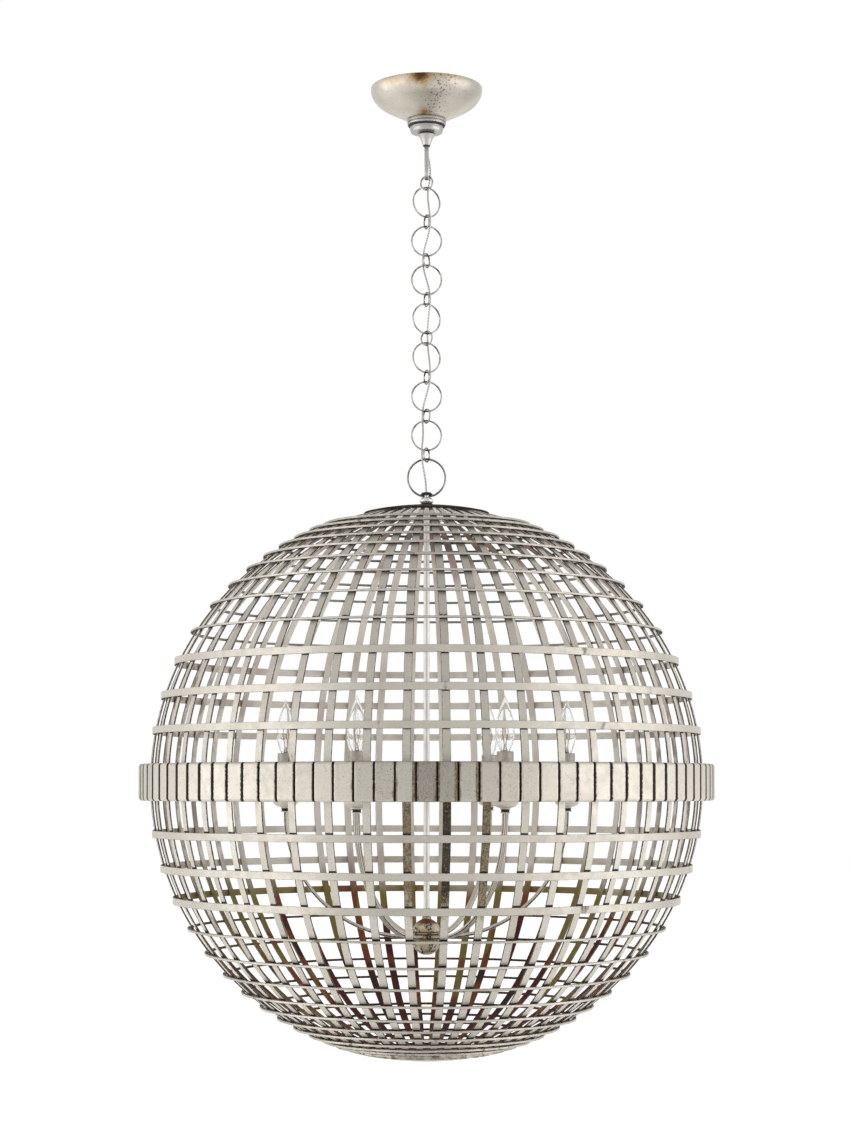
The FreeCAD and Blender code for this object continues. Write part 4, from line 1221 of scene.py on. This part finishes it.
class ORB_OT_canopy(bpy.types.Operator):
    """Make the spun canopy and its screw collar"""
    bl_idname = "orb.canopy"
    bl_label = "Canopy"

    def execute(self, context):
        self.bowl()
        self.collar()
        return {"FINISHED"}

    def bowl(self):
        wide = radius_of("canopy")
        bottom, _ = levels("canopy")
        outside = smooth_line([(r * wide * 0.998, z * bottom) for r, z in BOWL], 5)
        inside = outside[::-1] * (1.0 - BOWL_THICK / wide, 1.0) + (0.0, BOWL_THICK * 0.8)
        inside[:, 1] = np.minimum(inside[:, 1], 0.0)
        profile = np.vstack([
            [(CANOPY_BORE, bottom)], outside[::-1], inside[::-1],
            [(CANOPY_BORE, bottom + BOWL_THICK)],
        ])
        angles = round_angles(BOWL_SEGMENTS)
        share = profile[:, 1] / bottom
        stain = np.zeros((BOWL_SEGMENTS, len(profile)))
        age = np.zeros_like(stain)
        tone = np.full_like(stain, CANOPY_TONE)
        for spot, level, spread, tall, size in CANOPY_STAINS:
            stain += size * bump_at(angles, spot, spread) * np.exp(-((share - level) / tall) ** 2)
        for spot in CANOPY_CRACKS:
            age += bump_at(angles, spot, CRACK_SPREAD)
        # Painted shade and reflection: grey places down the middle of the bowl
        fall = np.exp(-((share - SHADE_LEVEL) / SHADE_TALL) ** 2)
        for spot, spread, size in CANOPY_SHADES:
            tone += size * bump_at(angles, spot, spread) * fall
        home = ("canopy_cover", "canopy_leaf", "canopy")
        turned_piece("canopy_bowl", ["canopy"], home, profile, BOWL_SEGMENTS, tone=tone,
                     stain=stain, age=age, soot={0: 0.6, len(outside): 0.75})

    def collar(self):
        bottom, top = levels("canopy_collar")
        step = top - 0.010
        wide = radius_of("canopy_collar") * math.cos(math.pi / 24)
        profile = [
            (CANOPY_BORE, top), (wide - 0.0020, top), (wide - 0.0006, top - 0.0006),
            (wide, top - 0.0020), (wide - 0.0003, top - 0.0042), (wide - 0.0014, top - 0.0047),
            (wide - 0.0016, top - 0.0056), (wide - 0.0006, top - 0.0064),
            (wide - 0.0020, step + 0.0006), (0.0225, step - 0.0004), (0.0222, step - 0.0014),
            (0.0226, step - 0.0028), (0.0218, bottom + 0.0014), (0.0208, bottom),
            (CANOPY_BORE, bottom),
        ]
        rows = turn(profile, COLLAR_SEGMENTS)
        mill = 1.0 - MILLING * (np.arange(COLLAR_SEGMENTS) % 2)
        rows[:, MILLED, :2] *= mill[:, None, None]
        skin = Skin()
        skin.add(rows, closed=True, tone=0.45, age=0.5,
                 soot={1: 0.9, 5: 0.8, 8: 0.95, 9: 0.9})
        place(skin.build("collar", "chain"), "canopy_cover", "canopy_leaf", "canopy_collar")


class ORB_OT_fitting(bpy.types.Operator):
    """Finish the crossbar, the nipple and its nuts above the canopy"""
    bl_idname = "orb.fitting"
    bl_label = "Ceiling fitting"

    def execute(self, context):
        for node in ("ceiling_crossbar", "canopy_nipple", "nipple_nuts"):
            clothe(node, "plated")
        return {"FINISHED"}


# Height at which the lead reaches the first link
CORD_TOP = -0.100
CORD_SIDES = 10
# Points round a link, a large ring and the cage's loop, and round the wire's section
LINK_SEGMENTS = 56
RING_WIRE_SEGMENTS = 96
WIRE_SIDES = 12
WIRE_CLEARANCE = 0.00002
# The hanger's turned base ends at the first height and its cone at the second
BASE_LOW = -0.0639
CONE_LOW = -0.0789
HANGER_HALF_WIDTH = 0.0095
NECK_BORE = 0.0044


def contact_soot(angles, spread=0.30):
    """Dark wax where a ring of wire is crossed, at its top and its bottom."""
    top = np.exp(-(np.sin(angles / 2) / spread * 2) ** 2)
    bottom = np.exp(-(np.cos(angles / 2) / spread * 2) ** 2)
    return np.maximum(top, bottom)


def inwards(path, side):
    """Sign of a section's second number towards a closed path's middle."""
    out = sweep(path, [(0.0, 0.0001)], side, True)[:, 0] - path
    return -np.sign(np.sum(out * (path - path.mean(0)), axis=1).mean())


def strip_section(thick, wide):
    """A flat strip with rolled edges, as (across, out) points."""
    t = thick / 2
    w = wide / 2
    return np.array([
        (-w * 0.5, t * 0.98), (w * 0.5, t * 0.98), (w * 0.82, t * 0.55), (w * 0.99, t * 0.15),
        (w * 0.99, -t * 0.15), (w * 0.82, -t * 0.55), (w * 0.5, -t * 0.98), (-w * 0.5, -t * 0.98),
        (-w * 0.82, -t * 0.55), (-w * 0.99, -t * 0.15), (-w * 0.99, t * 0.15),
        (-w * 0.82, t * 0.55),
    ])


class ORB_OT_chain(bpy.types.Operator):
    """Make the hanger, the links, the rings and the cage's own loop"""
    bl_idname = "orb.chain"
    bl_label = "Chain"

    def execute(self, context):
        sizes = context.scene.orb_chain
        for node, yaw in zip(LINKS, LINK_YAWS):
            self.wire_ring(sizes, node, math.radians(yaw), LINK_SEGMENTS)
        for node, yaw in zip(RINGS, RING_YAWS):
            self.wire_ring(sizes, node, math.radians(yaw), RING_WIRE_SEGMENTS)
        self.hanger(sizes)
        self.cage_loop(sizes)
        self.neck()
        return {"FINISHED"}

    def wire_ring(self, sizes, node, yaw, count):
        """A round loop of wire, dark where it is crossed, at its lower sides and inside."""
        low, high = levels(node)
        half_wire = sizes.wire / 2
        radius = (high - low) / 2 - half_wire * math.cos(math.pi / 6) - WIRE_CLEARANCE
        path, side, angles = upright_circle(radius, (low + high) / 2, yaw, count)
        t = round_angles(WIRE_SIDES)
        section = np.column_stack([np.cos(t), np.sin(t)]) * half_wire * 0.98
        tone = 0.55 + 0.6 * wobble(angles * 2, int(abs(low) * 1000), 1.0)
        lower_sides = 0.47 * np.exp(-((np.abs(angles - math.pi) - 2.25) / 0.32) ** 2)
        inner = section[:, 1] * inwards(path, side) > half_wire * 0.4
        lined = lower_sides[:, None] + np.where(inner, 0.40, 0.0)
        skin = Skin()
        skin.add(sweep(path, section, side, True), closed=True, tone=np.clip(tone, 0, 1), age=0.2,
                 soot=np.maximum((contact_soot(angles) * 0.75)[:, None], lined))
        place(skin.build(node + "_wire", "chain"), node, "chain_leaf", node)

    def hanger(self, sizes):
        """The turned base, its cone, and the long narrow loop of strip under it."""
        strip_low, top = levels("canopy_loop")
        profile = [
            (0.0022, CONE_LOW), (0.0040, CONE_LOW - 0.0001), (0.0047, CONE_LOW + 0.0010),
            (0.0058, CONE_LOW + 0.0040), (0.0086, BASE_LOW - 0.0034), (0.0107, BASE_LOW - 0.0008),
            (0.0116, BASE_LOW + 0.0006), (0.0113, BASE_LOW + 0.0016), (0.0094, BASE_LOW + 0.0022),
            (0.0092, BASE_LOW + 0.0034), (0.0115, BASE_LOW + 0.0042), (0.0115, top), (0.0054, top),
            (0.0054, top - 0.014), (0.0022, top - 0.014),
        ]
        skin = Skin()
        skin.add(turn(profile, 64), closed=True, tone=0.35, age=0.4,
                 soot={0: 0.95, 1: 0.9, 2: 0.75, 8: 1.0, 9: 1.0})
        let_in = 0.001
        centre_high = CONE_LOW - sizes.strip / 2 + let_in - HANGER_HALF_WIDTH
        centre_low = strip_low + sizes.strip / 2 + HANGER_HALF_WIDTH
        path = []
        for centre, start in ((centre_high, 0.0), (centre_low, math.pi)):
            for t in np.linspace(start, start + math.pi, 17):
                path.append((0.0, HANGER_HALF_WIDTH * math.cos(t),
                             centre + HANGER_HALF_WIDTH * math.sin(t)))
        path = np.array(path)
        rise = path[:, 2] - strip_low
        reach = rise / (centre_high - strip_low)
        foot = np.clip(1.0 - np.abs(rise) / 0.006, 0, 1) * 0.8
        soot = foot + 0.35 * np.exp(-((reach - 0.95) / 0.12) ** 2)
        strip = strip_section(sizes.strip, sizes.hanger_width)
        skin.add(sweep(path, strip, (1.0, 0.0, 0.0), True), closed=True, soot=soot, tone=0.3,
                 age=0.75)
        place(skin.build("hanger", "chain"), "ceiling_mount", "chain_leaf", "canopy_loop")

    def cage_loop(self, sizes):
        """The large loop of strip that the cage hangs by, dark inside and where it is crossed."""
        low, high = levels("cage_loop")
        radius = (high - low) / 2 - sizes.strip / 2
        path, side, angles = upright_circle(radius, (low + high) / 2, 0.0, RING_WIRE_SEGMENTS)
        strip = strip_section(sizes.strip, sizes.loop_width)
        inner = np.where(strip[:, 1] * inwards(path, side) > 0, 0.62, 0.12)
        skin = Skin()
        skin.add(sweep(path, strip, side, True), closed=True, tone=0.3, age=0.2,
                 soot=np.maximum((contact_soot(angles, 0.2) * 0.8)[:, None], inner))
        place(skin.build("cage_loop_strip", "chain"), "cage", "chain_leaf", "cage_loop")

    def neck(self):
        """The dark dished nut inside the loop and the pale turned neck under it."""
        base, top = levels("cage_loop_nut")
        wide = radius_of("cage_loop_nut")
        profile = [
            (NECK_BORE, base), (wide * 0.9, base + 0.0004), (wide * 0.99, base + 0.0012),
            (wide * 0.86, base + 0.0022), (0.0062, top - 0.0004), (NECK_BORE, top),
        ]
        home = ("cage", "cage_leaf", "cage_loop_nut")
        turned_piece("loop_nut", ["chain"], home, profile, 48, soot=0.8, tone=0.6, age=0.7)
        base, top = levels("cage_neck")
        wide = radius_of("cage_neck")
        profile = [
            (NECK_BORE, base), (wide * 0.74, base), (wide * 0.74, base + 0.0010),
            (wide * 0.98, base + 0.0012), (wide * 0.98, base + 0.0024),
            (wide * 0.70, base + 0.0029), (wide * 0.90, base + 0.0044),
            (wide * 0.985, base + 0.0060), (wide * 0.985, top - 0.0028),
            (wide * 0.84, top - 0.0008), (0.0066, top), (NECK_BORE, top),
        ]
        soot = [[0, 0.9, 0.9, 0.95, 0.95, 0.95, 0, 0, 0, 0.2, 0.9, 0.9]]
        home = ("cage", "cage_leaf", "cage_neck")
        turned_piece("neck", ["neck"], home, profile, 64, soot=soot, tone=0.1, age=0.2)


def cord_line():
    """The lead's smooth line, read from a spline that has the route's points as its controls."""
    curve = bpy.data.curves.new("cord_route", "CURVE")
    curve.dimensions = "3D"
    spline = curve.splines.new("NURBS")
    spline.points.add(len(CORD_ROUTE) - 1)
    for point, spot in zip(spline.points, CORD_ROUTE):
        point.co = (*(v / 1000 for v in spot), 1.0)
    spline.order_u = 3
    spline.use_endpoint_u = True
    spline.resolution_u = 7
    holder = bpy.data.objects.new("cord_route", curve)
    bpy.context.scene.collection.objects.link(holder)
    bpy.context.view_layer.update()
    drawn = holder.evaluated_get(bpy.context.evaluated_depsgraph_get())
    mesh = bpy.data.meshes.new_from_object(drawn)
    line = np.array([v.co for v in mesh.vertices])
    bpy.data.objects.remove(holder)
    bpy.data.meshes.remove(mesh)
    return line


class ORB_OT_cord(bpy.types.Operator):
    """Make the lead that is woven through the chain, in one stretch for each loop it passes"""
    bl_idname = "orb.cord"
    bl_label = "Cord"

    def execute(self, context):
        line = cord_line()
        radius = context.scene.orb_chain.cord / 2
        names = [name for pair in zip(LINKS, RINGS) for name in pair] + [LINKS[-1], "cage"]
        turning = [level_of(name) for name in names[:-1]] + [level_of("cage_loop")]
        before = "ceiling_mount"
        start = CORD_TOP
        first = 0
        for number, (name, level) in enumerate(zip(names, turning), 1):
            last = len(line) - 1 if name == "cage" else int(np.argmax(line[:, 2] < level))
            skin = Skin()
            skin.add(tube(line[first:last + 1], radius, CORD_SIDES), tone=0.4, age=0.3)
            piece = skin.build("cord_%02d" % number, "cord")
            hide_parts("supply_cord")
            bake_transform(piece)
            before, start, first = name, level, last
        return {"FINISHED"}


# Lights

ROD_RADII = (0.0026, 0.0040)
# The ball's largest radius, the bore for the rod, and the band between its two halves
BALL_RADIUS = 0.0189
HUB_BORE = 0.0042
SOLID_BORE = 0.0002
SEAM_RADIUS = 0.0168
SEAM_REVEAL = 0.0004
BEAD_RADIUS = 0.0011
BEADS = 36
# Where an arm starts at the hub, and how far it stands up into its cup
ARM_START = 0.01705
ARM_RISE = 0.003
# Points of the arm's section that lie in the grooves between its reeds
REED_GROOVES = (0, 5, 6, 11, 12, 17)
CUP_BORE = 0.0044
SLEEVE_RADIUS = 0.0109
SLEEVE_BORE = 0.0099
# Half of a bulb's outline as shares of its radius and height, from the base up
FLAME = (
    (0.42, 0.0), (0.46, 0.05), (0.72, 0.15), (0.93, 0.27), (1.0, 0.39), (0.94, 0.52),
    (0.76, 0.66), (0.50, 0.80), (0.25, 0.91), (0.10, 0.975), (0.012, 1.0),
)
# Solid glass at the tip, and how near the axis the inner wall may come
TIP_GLASS = 0.004
NEAR_AXIS = 0.00008
GLASS_SHARP = 60.0
SUPPORT_WIRE = 0.00045
FILAMENT_WIRE = 0.00028


def lamp_angles(lamps):
    return [lamps.phase + FULL_TURN * i / lamps.count for i in range(lamps.count)]


def lamp_spots(lamps):
    return [(lamps.circle * math.cos(a), lamps.circle * math.sin(a)) for a in lamp_angles(lamps)]


class ORB_OT_hub(bpy.types.Operator):
    """Make the rod and the ball-shaped hub"""
    bl_idname = "orb.hub"
    bl_label = "Hub"

    def execute(self, context):
        low, high = levels("centre_rod")
        inner, outer = ROD_RADII
        profile = [(inner, low), (outer, low), (outer, high), (inner, high)]
        home = ("cage", "lamp_leaf", "centre_rod")
        turned_piece("rod", ["rod"], home, profile, 32, tone=0.1, age=0.05)
        self.ball()
        return {"FINISHED"}

    def ball(self):
        """The ball's two halves, the band between them and the collar on top."""
        low, high = levels("hub_body")
        _, top = levels("hub_top")
        foot, _ = levels("hub_bottom")
        _, neck_top = levels("hub_neck")
        arc = np.radians(np.linspace(6, 74, 9))
        outs, rises = BALL_RADIUS * np.cos(arc), np.sin(arc) / math.sin(arc[-1])
        shoulder = BALL_RADIUS - 0.002
        dome = [(out, high + (top - high) * rise) for out, rise in zip(outs, rises)]
        profile = [(HUB_BORE, high), (shoulder, high)] + dome + [(HUB_BORE, top)]
        red = [[0.0, 0.0, 0.05, 0.1, 0.15, 0.3, 0.55, 0.8, 1.0, 1.0, 1.0, 1.0]]
        soot = {0: 1.0, 1: 1.0, -2: 0.3, -1: 0.8}
        self.part("hub_dome", "hub_top", profile, soot, red)
        bowl = [(out, low - (low - foot) * rise) for out, rise in zip(outs, rises)]
        profile = [(SOLID_BORE, low), (shoulder, low)] + bowl + [(SOLID_BORE, foot)]
        self.part("hub_bowl", "hub_bottom", profile, {0: 1.0, 1: 1.0}, 0.0)
        self.seam(low, high)
        profile = [
            (HUB_BORE, top), (0.0066, top), (0.0062, top + 0.002), (0.0052, top + 0.0045),
            (0.0056, neck_top - 0.0008), (0.0050, neck_top), (HUB_BORE, neck_top),
        ]
        self.part("hub_collar", "hub_neck", profile, 0.3, 0.55)

    def part(self, name, node, profile, soot, stain):
        home = ("cage", "lamp_leaf", node)
        turned_piece(name, ["hub"], home, profile, 64, soot=soot, stain=stain)

    def seam(self, low, high):
        """The band that the arms enter, with a beaded edge above and below."""
        edge = SEAM_RADIUS + SEAM_REVEAL
        profile = [
            (HUB_BORE, high), (SEAM_RADIUS, high), (edge, high - 0.001),
            (SEAM_RADIUS, high - 0.002), (SEAM_RADIUS - SEAM_REVEAL, 0.5 * (low + high)),
            (SEAM_RADIUS, low + 0.002), (edge, low + 0.001), (SEAM_RADIUS, low), (HUB_BORE, low),
        ]
        skin = Skin()
        skin.add(turn(profile, 96), closed=True, tone=0.4, age=0.9,
                 soot={3: 0.8, 4: 0.3, 5: 0.8})
        half_round = np.radians(np.linspace(-80, 80, 5))
        for level in (high - 0.0012, low + 0.0012):
            bead = [(BEAD_RADIUS * math.cos(v), level + BEAD_RADIUS * math.sin(v))
                    for v in half_round]
            for turned in round_angles(BEADS):
                spot = (math.cos(turned) * SEAM_RADIUS, math.sin(turned) * SEAM_RADIUS)
                skin.add(turn(bead, 8, spot), closed=True, ring=False, tone=0.1, age=0.4)
        place(skin.build("hub_seam", "hub"), "cage", "lamp_leaf", "hub_body")


class ORB_OT_arms(bpy.types.Operator):
    """Make the reeded arms from the hub up to the lamps"""
    bl_idname = "orb.arms"
    bl_label = "Arms"

    def execute(self, context):
        lamps = context.scene.orb_lamps
        section = self.section(lamps.arm_width / 2, lamps.arm_depth / 2)
        t = np.linspace(0, math.pi / 2, 40)
        start = lamps.circle - lamps.bend
        reach = np.concatenate([[ARM_START], start + lamps.bend * np.sin(t), [lamps.circle]])
        rise = np.concatenate([[0.0], lamps.bend * (1 - np.cos(t)), [lamps.bend + ARM_RISE]])
        soot = dict.fromkeys(REED_GROOVES, 0.85)
        skin = Skin()
        for turned in lamp_angles(lamps):
            radial, across = outwards_at(turned)
            path = np.outer(reach, radial)
            path[:, 2] = HUB_Z + rise
            rows = sweep(path, section * (-1.0, -1.0), across)
            skin.add(rows, soot=soot, tone=0.3, age=0.35)
        place(skin.build("arms", "lamp"), "cage", "lamp_leaf", "lamp_arms")
        return {"FINISHED"}

    def section(self, w, d):
        """A bar of half width w and half depth d, with three reeds on its outer face."""
        reeds = []
        for centre in (-2 / 3, 0.0, 2 / 3):
            for t in np.radians(np.linspace(160, 20, 6)):
                reeds.append((w * (centre + 0.31 * math.cos(t)), d * (0.45 + 0.53 * math.sin(t))))
        back = [(w * 0.98, -0.6 * d), (0.8 * w, -d * 0.98), (-0.8 * w, -d * 0.98),
                (-w * 0.98, -0.6 * d)]
        return np.array(reeds + back)


class ORB_OT_lamps(bpy.types.Operator):
    """Make the drip cups and the candle sleeves, and finish the holders"""
    bl_idname = "orb.lamps"
    bl_label = "Lamps"

    def execute(self, context):
        cup, sleeve = self.cup(), self.sleeve()
        cup_soot = {2: 0.5, 3: 1.0, 4: 1.0, 5: 0.8}
        sleeve_soot = [[0.9, 0.0, 0.1, 0.62, 0.62, 0.9]]
        cups = Skin()
        sleeves = Skin()
        for spot in lamp_spots(context.scene.orb_lamps):
            cups.add(turn(cup, 48, spot), closed=True, soot=cup_soot, tone=0.25, age=0.3)
            sleeves.add(turn(sleeve, 40, spot), closed=True, soot=sleeve_soot, tone=0.85, age=0.4)
        place(cups.build("drip_cups", "lamp"), "cage", "lamp_leaf", "lamp_cups")
        place(sleeves.build("candle_tubes", "lamp"), "cage", "lamp_leaf", "candle_sleeves")
        clothe("lamp_sockets", "moulded")
        return {"FINISHED"}

    def cup(self):
        """Profile of a drip cup: its stem, the bowl's outside, and the inside down to the floor."""
        foot, rim = levels("lamp_cups")
        bowl = foot + 0.007
        floor = bowl + 0.0034
        wall = 0.0012
        outside = smooth_line([
            (0.0062, foot + 0.0052), (0.0072, bowl - 0.0004), (0.0135, bowl + 0.0022),
            (0.0176, bowl + 0.0078), (0.0194, bowl + 0.0150), (0.0198, rim - 0.0006),
        ], 4)
        inside = (outside[3:] - (wall, -wall))[::-1]
        inside[:, 1] = np.minimum(inside[:, 1], rim)
        inside = inside[inside[:, 1] > floor + 0.0003]
        stem = [(CUP_BORE, foot), (0.0063, foot), (0.0064, foot + 0.0012),
                (0.0054, foot + 0.0020), (0.0054, foot + 0.0040)]
        return np.vstack([
            stem, outside, [(0.0192, rim)], inside, [(0.0124, floor), (CUP_BORE, floor)],
        ])

    def sleeve(self):
        low, high = levels("candle_sleeves")
        return [
            (SLEEVE_RADIUS, low), (SLEEVE_RADIUS, high - 0.0012),
            (SLEEVE_RADIUS - 0.0003, high - 0.0002), (SLEEVE_RADIUS - 0.0007, high),
            (SLEEVE_BORE, high), (SLEEVE_BORE, low),
        ]


class ORB_OT_bulbs(bpy.types.Operator):
    """Make the clear flame-shaped bulbs with what stands inside them"""
    bl_idname = "orb.bulbs"
    bl_label = "Bulbs"

    def execute(self, context):
        lamps = context.scene.orb_lamps
        for number, spot in enumerate(lamp_spots(lamps), 1):
            base, tip = levels("bulb_%d" % number)
            self.flame(lamps, number, spot, base, tip)
            self.filament(number, spot, base, tip - base)
            self.stem(number, spot, base, tip - base)
            clothe("bulb_base_%d" % number, "brass")
        return {"FINISHED"}

    def flame(self, lamps, number, spot, base, tip):
        """The glass, as an outer and an inner wall."""
        outside = smooth_line(FLAME, 4) * (lamps.bulb_radius, tip - base) + (0.0, base)
        inside = outside[::-1] - (lamps.glass, 0.0)
        inside[:, 0] = np.maximum(inside[:, 0], NEAR_AXIS)
        inside[:, 1] = np.minimum(inside[:, 1], tip - TIP_GLASS)
        skin = Skin()
        for wall in (outside, inside):
            skin.add(turn(wall, 40, spot), ring=False, closed=True, caps=False)
        glass = skin.build("bulb_glass_%d" % number, "glass", sharp=GLASS_SHARP)
        self.face(glass.data)
        place(glass, "lamp_bulb_%d" % number, "bulb_glass", "bulb_%d" % number)

    def face(self, mesh):
        """Turn the outer wall of the glass to face outwards and the inner one inwards."""
        half = len(mesh.polygons) // 2
        middle = np.mean([v.co[:2] for v in mesh.vertices], axis=0)
        for polygon in mesh.polygons:
            away = polygon.center[:2] - middle
            outwards = away[0] * polygon.normal[0] + away[1] * polygon.normal[1]
            if (outwards > 0) != (polygon.index < half):
                polygon.flip()
        mesh.update()

    def filament(self, number, spot, base, tall):
        """Two bent supports and the coiled filament between them, in a finish painted orange brown
        for the glints near the base.
        """
        x, y = spot
        wires = Skin()
        peak = base + tall * 0.52
        for side in (-1, 1):
            path = smooth_line([
                (x + side * 0.0012, y, base + 0.002), (x + side * 0.0016, y, base + tall * 0.22),
                (x + side * 0.0038, y, base + tall * 0.38), (x + side * 0.0022, y, peak),
            ], 6)
            wires.add(tube(path, SUPPORT_WIRE, 6))
        t = np.linspace(0, 1, 60)
        coil = np.column_stack([
            x + (t - 0.5) * 0.0044 + 0.0005 * np.cos(t * 60), y + 0.0005 * np.sin(t * 60),
            peak + 0.0016 * np.sin(t * math.pi),
        ])
        wires.add(tube(coil, FILAMENT_WIRE, 5))
        piece = wires.build("filament_%d" % number, "filament")
        place(piece, "lamp_bulb_%d" % number, "bulb_base")

    def stem(self, number, spot, base, tall):
        """The glass stem that carries the supports."""
        line = smooth_line([
            (0.0036, base + 0.0005), (0.0030, base + 0.004), (0.0016, base + tall * 0.18),
            (0.0012, base + tall * 0.30), (0.0001, base + tall * 0.315),
        ], 3)
        skin = Skin()
        skin.add(turn(line, 16, spot), ring=False, closed=True, caps=False)
        piece = skin.build("stem_%d" % number, "glass", sharp=GLASS_SHARP)
        place(piece, "lamp_bulb_%d" % number, "bulb_glass")


# Stage

FLOOR_REACH = 30.0
LAMP_PANEL = (4.6, 4.0)
LAMP_SPOT = (3.6, -1.0, -1.35)
SENSOR = 36.0


class ORB_OT_stage(bpy.types.Operator):
    """Make the floor, the soft lamps, the surroundings and the camera"""
    bl_idname = "orb.stage"
    bl_label = "Stage"

    def execute(self, context):
        scene = context.scene
        stage = scene.orb_stage
        scene.view_settings.view_transform = "Standard"
        self.floor(stage)
        self.world(scene, stage)
        self.lamps(scene, stage)
        self.camera(scene, stage)
        return {"FINISHED"}

    def floor(self, stage):
        low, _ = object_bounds()
        level = low[2] - stage.floor_drop
        skin = Skin()
        rows = [[(x, y, level) for x in (-FLOOR_REACH, FLOOR_REACH)]
                for y in (-FLOOR_REACH, FLOOR_REACH)]
        skin.add(rows, ring=False, caps=False)
        piece = skin.build("floor", "floor")
        piece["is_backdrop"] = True

    def world(self, scene, stage):
        world = bpy.data.worlds.new("surroundings")
        scene.world = world
        world.use_nodes = True
        nodes = Nodes(world.node_tree)
        background = nodes.tree.nodes["Background"]
        background.inputs["Color"].default_value = (1.0, 1.0, 1.0, 1.0)
        nodes.link(nodes.seen_rays(1.0, stage.world), background.inputs["Strength"])

    def lamps(self, scene, stage):
        """Two large soft panels, one at each side and a little below the cage."""
        for name, side in (("lamp_left", -1.0), ("lamp_right", 1.0)):
            light = bpy.data.lights.new(name, "AREA")
            light.shape = "RECTANGLE"
            light.size, light.size_y = LAMP_PANEL
            light.energy = stage.side_power
            holder = bpy.data.objects.new(name, light)
            holder.location = (side * LAMP_SPOT[0], *LAMP_SPOT[1:])
            aim = Vector((0.0, 0.0, CAGE_Z)) - holder.location
            holder.rotation_euler = aim.to_track_quat("-Z", "Y").to_euler()
            scene.collection.objects.link(holder)

    def camera(self, scene, stage):
        camera = bpy.data.cameras.new("camera")
        camera.lens = stage.lens
        camera.sensor_width = SENSOR
        camera.shift_y = stage.rise
        holder = bpy.data.objects.new("camera", camera)
        holder.location = (stage.aside, -stage.distance, stage.height)
        holder.rotation_euler = (math.pi / 2 + stage.pitch, 0.0, 0.0)
        scene.collection.objects.link(holder)
        scene.camera = holder


OPERATORS = (
    ORB_OT_fitting, ORB_OT_canopy, ORB_OT_chain, ORB_OT_cord, ORB_OT_ribs, ORB_OT_rings,
    ORB_OT_belt, ORB_OT_plates, ORB_OT_hub, ORB_OT_arms, ORB_OT_lamps, ORB_OT_bulbs,
    ORB_OT_stage,
)
GROUPS = (
    ("orb_cage", CageSizes), ("orb_belt", BeltSizes), ("orb_chain", ChainSizes),
    ("orb_lamps", LampSizes), ("orb_colours", LeafColours), ("orb_stage", StageSettings),
)


class ORB_PT_panel(bpy.types.Panel):
    """Lists the chandelier's pieces and their settings"""
    bl_idname = "ORB_PT_panel"
    bl_label = "Orb Chandelier"
    bl_space_type = "VIEW_3D"
    bl_region_type = "UI"
    bl_category = "Chandelier"

    def draw(self, context):
        layout = self.layout
        for name, group in GROUPS:
            box = layout.box()
            settings = getattr(context.scene, name)
            for key in group.__annotations__:
                box.prop(settings, key)
        for operator in OPERATORS:
            layout.operator(operator.bl_idname)


def register():
    for name, group in GROUPS:
        bpy.utils.register_class(group)
        setattr(bpy.types.Scene, name, PointerProperty(type=group))
    for item in (*OPERATORS, ORB_PT_panel):
        bpy.utils.register_class(item)


def unregister():
    for item in (ORB_PT_panel, *reversed(OPERATORS)):
        bpy.utils.unregister_class(item)
    for name, group in reversed(GROUPS):
        delattr(bpy.types.Scene, name)
        bpy.utils.unregister_class(group)


def main():
    register()
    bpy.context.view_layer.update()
    for operator in OPERATORS:
        family, verb = operator.bl_idname.split(".")
        getattr(getattr(bpy.ops, family), verb)()


if __name__ == "__main__":
    main()
